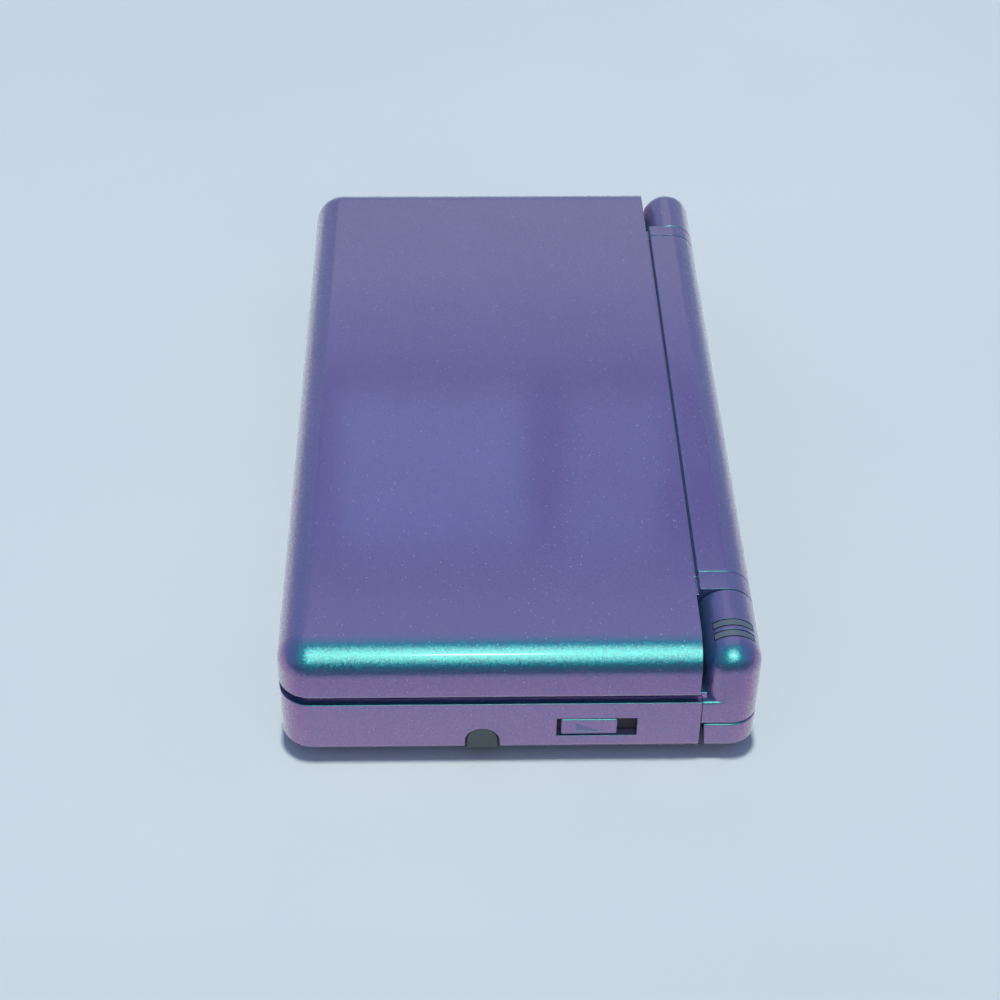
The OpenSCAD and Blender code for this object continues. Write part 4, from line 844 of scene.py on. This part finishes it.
gloss_button = moulded("gloss_moulded_ABS", "#332c58", "#39315f", 0.24, 0.5, 0.004, 0.6)
black_plastic = moulded("eroded_black_ABS", "#141418", "#1b1b20", 0.5, 0.25, 0.02)
switch_plastic = moulded("grey_nylon", "#5f6166", "#6b6d72", 0.45, 0.3, 0.015)
stylus_plastic = moulded("slate_polycarbonate", "#3a434a", "#475058", 0.32, 0.3, 0.01, 0.2)
pad_rubber = moulded("grey_silicone_rubber", "#94969a", "#a1a3a6", 0.62, 0.2, 0.02)
foot_rubber = moulded("dark_urethane_rubber", "#2b2d36", "#34363f", 0.66, 0.18, 0.02)
battery_wrap = moulded("shrink_wrap", "#26282d", "#2e3036", 0.3, 1.2, 0.02, 0.2)
ribbon_film = moulded("polyimide_film", "#a8641f", "#b9742a", 0.28, 0.8, 0.006, 0.3)
light_guide = moulded("frosted_acrylic", "#56626f", "#626f7c", 0.3, 0.15, 0.01, 0.4)
tin_plate = metal("tin_plated_steel", "#b4b6ba", "#c6c8cb", 0.3, 1.2)
black_screw = metal("blackened_steel", "#3a3b3f", "#47484d", 0.38, 0.6, (1, 1, 1))
display_glass = glass("display_glass", "#0b0c10", 0.03)
clear_lens = glass("clear_lens", "#11131a", 0.02)
solder_mask = board_mask("solder_mask_on_glass_epoxy")

slot_finish = {
    "shell_paint": shell_lacquer,
    "face_paint": face_lacquer,
    "button_plastic": gloss_button,
    "black_plastic": black_plastic,
    "board_laminate": solder_mask,
    "screen_glass": display_glass,
    "lens_clear": clear_lens,
    "pad_rubber": pad_rubber,
    "foot_rubber": foot_rubber,
    "steel": tin_plate,
    "screw_steel": black_screw,
    "battery_wrap": battery_wrap,
    "light_plastic": light_guide,
    "ribbon_film": ribbon_film,
    "stylus_plastic": stylus_plastic,
    "switch_plastic": switch_plastic,
}
for entry in frame["record"]["subparts"]:
    mesh = nodes[entry["node"]].data
    mesh.materials.clear()
    mesh.materials.append(slot_finish[entry["material_slot"]])
print("finishes:", len(slot_finish), "for", len(nodes), "solids")

# %% Dress the small pieces
# The slider's flange and finger, behind the slot, are black plastic; the black also paints the
# shade that fills the slot
flange_end = 65.3
power.data.materials.append(black_plastic)
black_and_shade_faces = [face for face in power.data.polygons if face.center.x < flange_end * MM]
for face in black_and_shade_faces:
    face.material_index = 1
print("power slider faces in black plastic:", len(black_and_shade_faces))
dress(volume, "volume", ["volume_slider"], gloss_button)
dress(stylus, "stylus", ["stylus"], stylus_plastic)
dress(cross_body, "dpad", ["dpad"], gloss_button)
for which, at in action_at.items():
    cap_piece = turned(which + "_cap", button_profile(action_r, 12.0, 8.45), (*at, 0))
    dress(cap_piece, "action_" + which, ["action_button_" + which], gloss_button)
for which, at in menu_at.items():
    cap_piece = turned(which + "_cap", button_profile(menu_r, 11.8, 8.15), (*at, 0), 2, 48)
    dress(cap_piece, which, [which + "_button"], gloss_button)
for x, node in zip(light_x, ("power_light_guide", "charge_light_guide")):
    lens = prism(node + "_lens", light_shape(0, 3.3), 0, x, x + light_len)
    dress(lens, "base", [node], light_guide)
foot_rows = np.concatenate([[(0, 1.08), (2.6, 1.08)], arc((2.3, 0.3), 0.3, 0, -90, 5), [(0, 0)]])
feet = [turned("foot", foot_rows, (*at, 0), 2, 48) for at in feet_at]
foot_set = combine(feet[0], feet[1:], "UNION")
foot_set.name = "table_feet"
dress(foot_set, "base", ["rubber_feet"], foot_rubber)
plug_rim = arc((1.8, 11.95), 0.4, 0, -90, 5)
plug_rows = np.concatenate([[(0, 13.08), (2.2, 13.08)], plug_rim, [(0, 11.55)]])
plugs = [turned("plug", plug_rows, (*at, 0), 2, 48) for at in lid_screws_at]
plug_set = combine(plugs[0], plugs[1:], "UNION")
plug_set.name = "screw_plugs"
dress(plug_set, "lid", ["lid_bumpers"], foot_rubber)
print("pieces made:", made)

# %% [markdown]
# ## Table, light and camera
# The console stands on a pale matt table under a small overhead softbox, whose short crisp shadow
# shows how close the case is to the table. All other lamps are there to be mirrored. A front panel
# that fades to its rim draws the green line along the lid's edge, a small lamp by the camera adds
# the line's white core, two panes in a deep blue wall on the far side give the top its bluish
# patches, and a warm ceiling and two far strips of wall tint the rest of it. Two dark sheets that
# only gloss can see stand for the near end of the room and keep the sides violet, and a faint
# glow at the foot of the right side lifts the base a little.

# %% Table and what gloss sees of the room
def panel(name, corner, along, up, cells=8):
    """Flat sheet of quads: point(u, v) = corner + u * along + v * up, with 0 <= u, v <= 1."""
    u, v = np.meshgrid(np.linspace(0, 1, cells + 1), np.linspace(0, 1, cells + 1))
    points = np.array(corner) + u[..., None] * np.array(along) + v[..., None] * np.array(up)
    at = np.arange(u.size).reshape(u.shape)
    quads = np.stack([at[:-1, :-1], at[:-1, 1:], at[1:, 1:], at[1:, :-1]], -1).reshape(-1, 4)
    mesh = bpy.data.meshes.new(name)
    mesh.from_pydata((points.reshape(-1, 3) * MM).tolist(), [], quads.tolist())
    piece = bpy.data.objects.new(name, mesh)
    bpy.context.scene.collection.objects.link(piece)
    return piece


table_paint, tree, where = material("white_table_paint")
tone = ramp(tree, noise(tree, where, 120), [(0.3, "#dfe6ea"), (0.7, "#e4eaee")])
surface(tree, Base_Color=tone, Roughness=0.6, IOR=1.45)
table = panel("table", (-4000, -4000, -1.2), (8000, 0, 0), (0, 8000, 0))
table.data.materials.append(table_paint)

painted_room_shade, tree, where = material("unlit_room")
tone = ramp(tree, noise(tree, where, 300), [(0.3, "#1d272d"), (0.7, "#232e35")])
surface(tree, Base_Color=tone, Roughness=0.8)
blue_glow, tree, where = material("blue_window_wall")
dusk = colour("#000681")
surface(tree, Base_Color=BLACK, Roughness=0.8, Emission_Color=dusk, Emission_Strength=1.0)
# The dark sheets are painted shade: the unlit room beyond the table and behind the camera, seen
# only in reflections
room_deep, half_room, sheet_z = 2400, 2500, 0.4
across = (0, 2 * half_room, 0)
table_end = panel("table_end", (100, -half_room, sheet_z), (room_deep, 0, 0), across)
wall_foot = (room_deep, -half_room, sheet_z)
near_wall = panel("room_behind_camera", wall_foot, across, (0, 0, 450))
far_wall = panel("window_wall", (-1851, -600, 1375), (0, 1300, 0), (158, 0, 192))
for sheet, paint in ((table_end, painted_room_shade), (near_wall, painted_room_shade), (far_wall, blue_glow)):
    sheet.data.materials.append(paint)
    sheet.visible_camera = sheet.visible_diffuse = sheet.visible_shadow = False

# %% Camera
def camera_at(place, yaw, pitch, roll, focal_px, frame_px=1000):
    """Camera from its place in mm, its angles in degrees, and the focal length in pixels."""
    yaw, pitch, roll = map(math.radians, (yaw, pitch, roll))
    level = np.array([math.cos(yaw), math.sin(yaw), 0])
    ahead = -math.cos(pitch) * level - (0, 0, math.sin(pitch))
    side = np.cross(ahead, (0, 0, 1))
    side /= np.linalg.norm(side)
    up = np.cross(side, ahead)
    right = side * math.cos(roll) + up * math.sin(roll)
    top = up * math.cos(roll) - side * math.sin(roll)
    data = bpy.data.cameras.new("camera")
    data.sensor_width = data.sensor_height = sensor_mm = 36.0
    data.lens = focal_px / frame_px * sensor_mm
    data.clip_start, data.clip_end = 0.01, 100
    camera = bpy.data.objects.new("camera", data)
    matrix = np.eye(4)
    matrix[:3] = np.stack([right, top, -ahead, np.array(place) * MM], 1)
    camera.matrix_world = Matrix(matrix)
    bpy.context.scene.collection.objects.link(camera)
    bpy.context.scene.camera = camera
    return camera


camera = camera_at((278.6, -8.99, 230.78), -1.522, 40.165, 0.633, 1993.0)
print("lens:", round(camera.data.lens, 2), "mm")

# %% Lights
def soft_light(name, azimuth, elevation, distance, size, watts, tint, aim=(0, 0, 10)):
    """Rectangular lamp in a direction from the point aim: azimuth from +X towards +Y in degrees,
    distance and size in metres, aim in millimetres."""
    a, e = math.radians(azimuth), math.radians(elevation)
    direction = np.array([math.cos(e) * math.cos(a), math.cos(e) * math.sin(a), math.sin(e)])
    data = bpy.data.lights.new(name, "AREA")
    data.shape, data.size, data.size_y = "RECTANGLE", size[0], size[1]
    data.energy, data.color = watts, colour(tint)[:3]
    lamp = bpy.data.objects.new(name, data)
    side = np.cross((0, 0, 1), direction)
    side /= np.linalg.norm(side)
    matrix = np.eye(4)
    matrix[:3, 0], matrix[:3, 1], matrix[:3, 2] = side, np.cross(direction, side), direction
    matrix[:3, 3] = np.array(aim) * MM + direction * distance
    lamp.matrix_world = Matrix(matrix)
    bpy.context.scene.collection.objects.link(lamp)
    return lamp


def lights_only(lamp, seen_by):
    """Studio trick: the lamp is either mirrored by gloss or lights matt surfaces, not both."""
    lamp.visible_glossy = seen_by == "gloss"
    lamp.visible_diffuse = seen_by == "matt"


def glowing(lamp):
    """Softbox fading to its rim: strength = (1 - d^2)^2, with d = 1 at the middle of an edge."""
    lamp.data.use_nodes = True
    tree = lamp.data.node_tree
    tree.nodes.clear()
    across = add(tree, "ShaderNodeNewGeometry").outputs["Parametric"]
    centred = vector_maths(tree, "MULTIPLY_ADD", across, in1=(2, 2, 0), in2=(-1, -1, 0))
    dot = add(tree, "ShaderNodeVectorMath", {"operation": "DOT_PRODUCT"}, in0=centred, in1=centred)
    clamped = {"operation": "SUBTRACT", "use_clamp": True}
    left = add(tree, "ShaderNodeMath", clamped, in0=1.0, in1=dot.outputs["Value"])
    fade = add(tree, "ShaderNodeMath", {"operation": "POWER"}, in0=left.outputs[0], in1=2.0)
    glow = add(tree, "ShaderNodeEmission", Strength=fade.outputs[0])
    add(tree, "ShaderNodeOutputLight", Surface=glow.outputs[0])
    return lamp


glowing(soft_light("lamp_by_the_camera", 0.3, 46, 1.6, (0.17, 0.2), 3, "#fff6ec"))
lights_only(glowing(soft_light("front_panel", 1.6, 47, 1.6, (1.6, 2.2), 75, "#f1fbec")), "gloss")
lights_only(soft_light("warm_ceiling", 180, 66, 2.0, (1.8, 1.6), 4.5, "#ffded4"), "gloss")
lights_only(soft_light("overhead_softbox", 0, 89.9, 2.0, (0.1, 0.1), 26, "#f8fff6"), "matt")
beside_base = (73.8, 0, 10)
glow = soft_light("base_glow", 0, -89.9, 0.011, (0.076, 0.014), 0.0005, "#c4ff97", beside_base)
glow.visible_camera = False
lights_only(glow, "gloss")
panes = (("left_pane", 181.45, 0.237, 0.174), ("right_pane", 173.65, 0.122, 0.064))
for name, azimuth, width, watts in panes:
    soft_light(name, azimuth, 39.8, 2.2, (width, 0.195), watts, "#a5d8ff")
soft_light("blue_wall", 180, 35.2, 2.2, (0.9, 0.07), 0.07, "#8fd0ff")
soft_light("warm_wall", 180, 32.1, 2.2, (0.9, 0.16), 0.22, "#f4fac4")
world = bpy.data.worlds.new("room")
bpy.context.scene.world = world
world.use_nodes = True
tree = world.node_tree
tree.nodes.clear()
by_gloss = add(tree, "ShaderNodeLightPath").outputs["Is Glossy Ray"]
walls = mixed(tree, by_gloss, colour("#6a779a"), colour("#8b9ec2"))
air = add(tree, "ShaderNodeBackground", Color=walls, Strength=1.0)
add(tree, "ShaderNodeOutputWorld", Surface=air.outputs[0])
bpy.context.scene.view_settings.view_transform = "Standard"
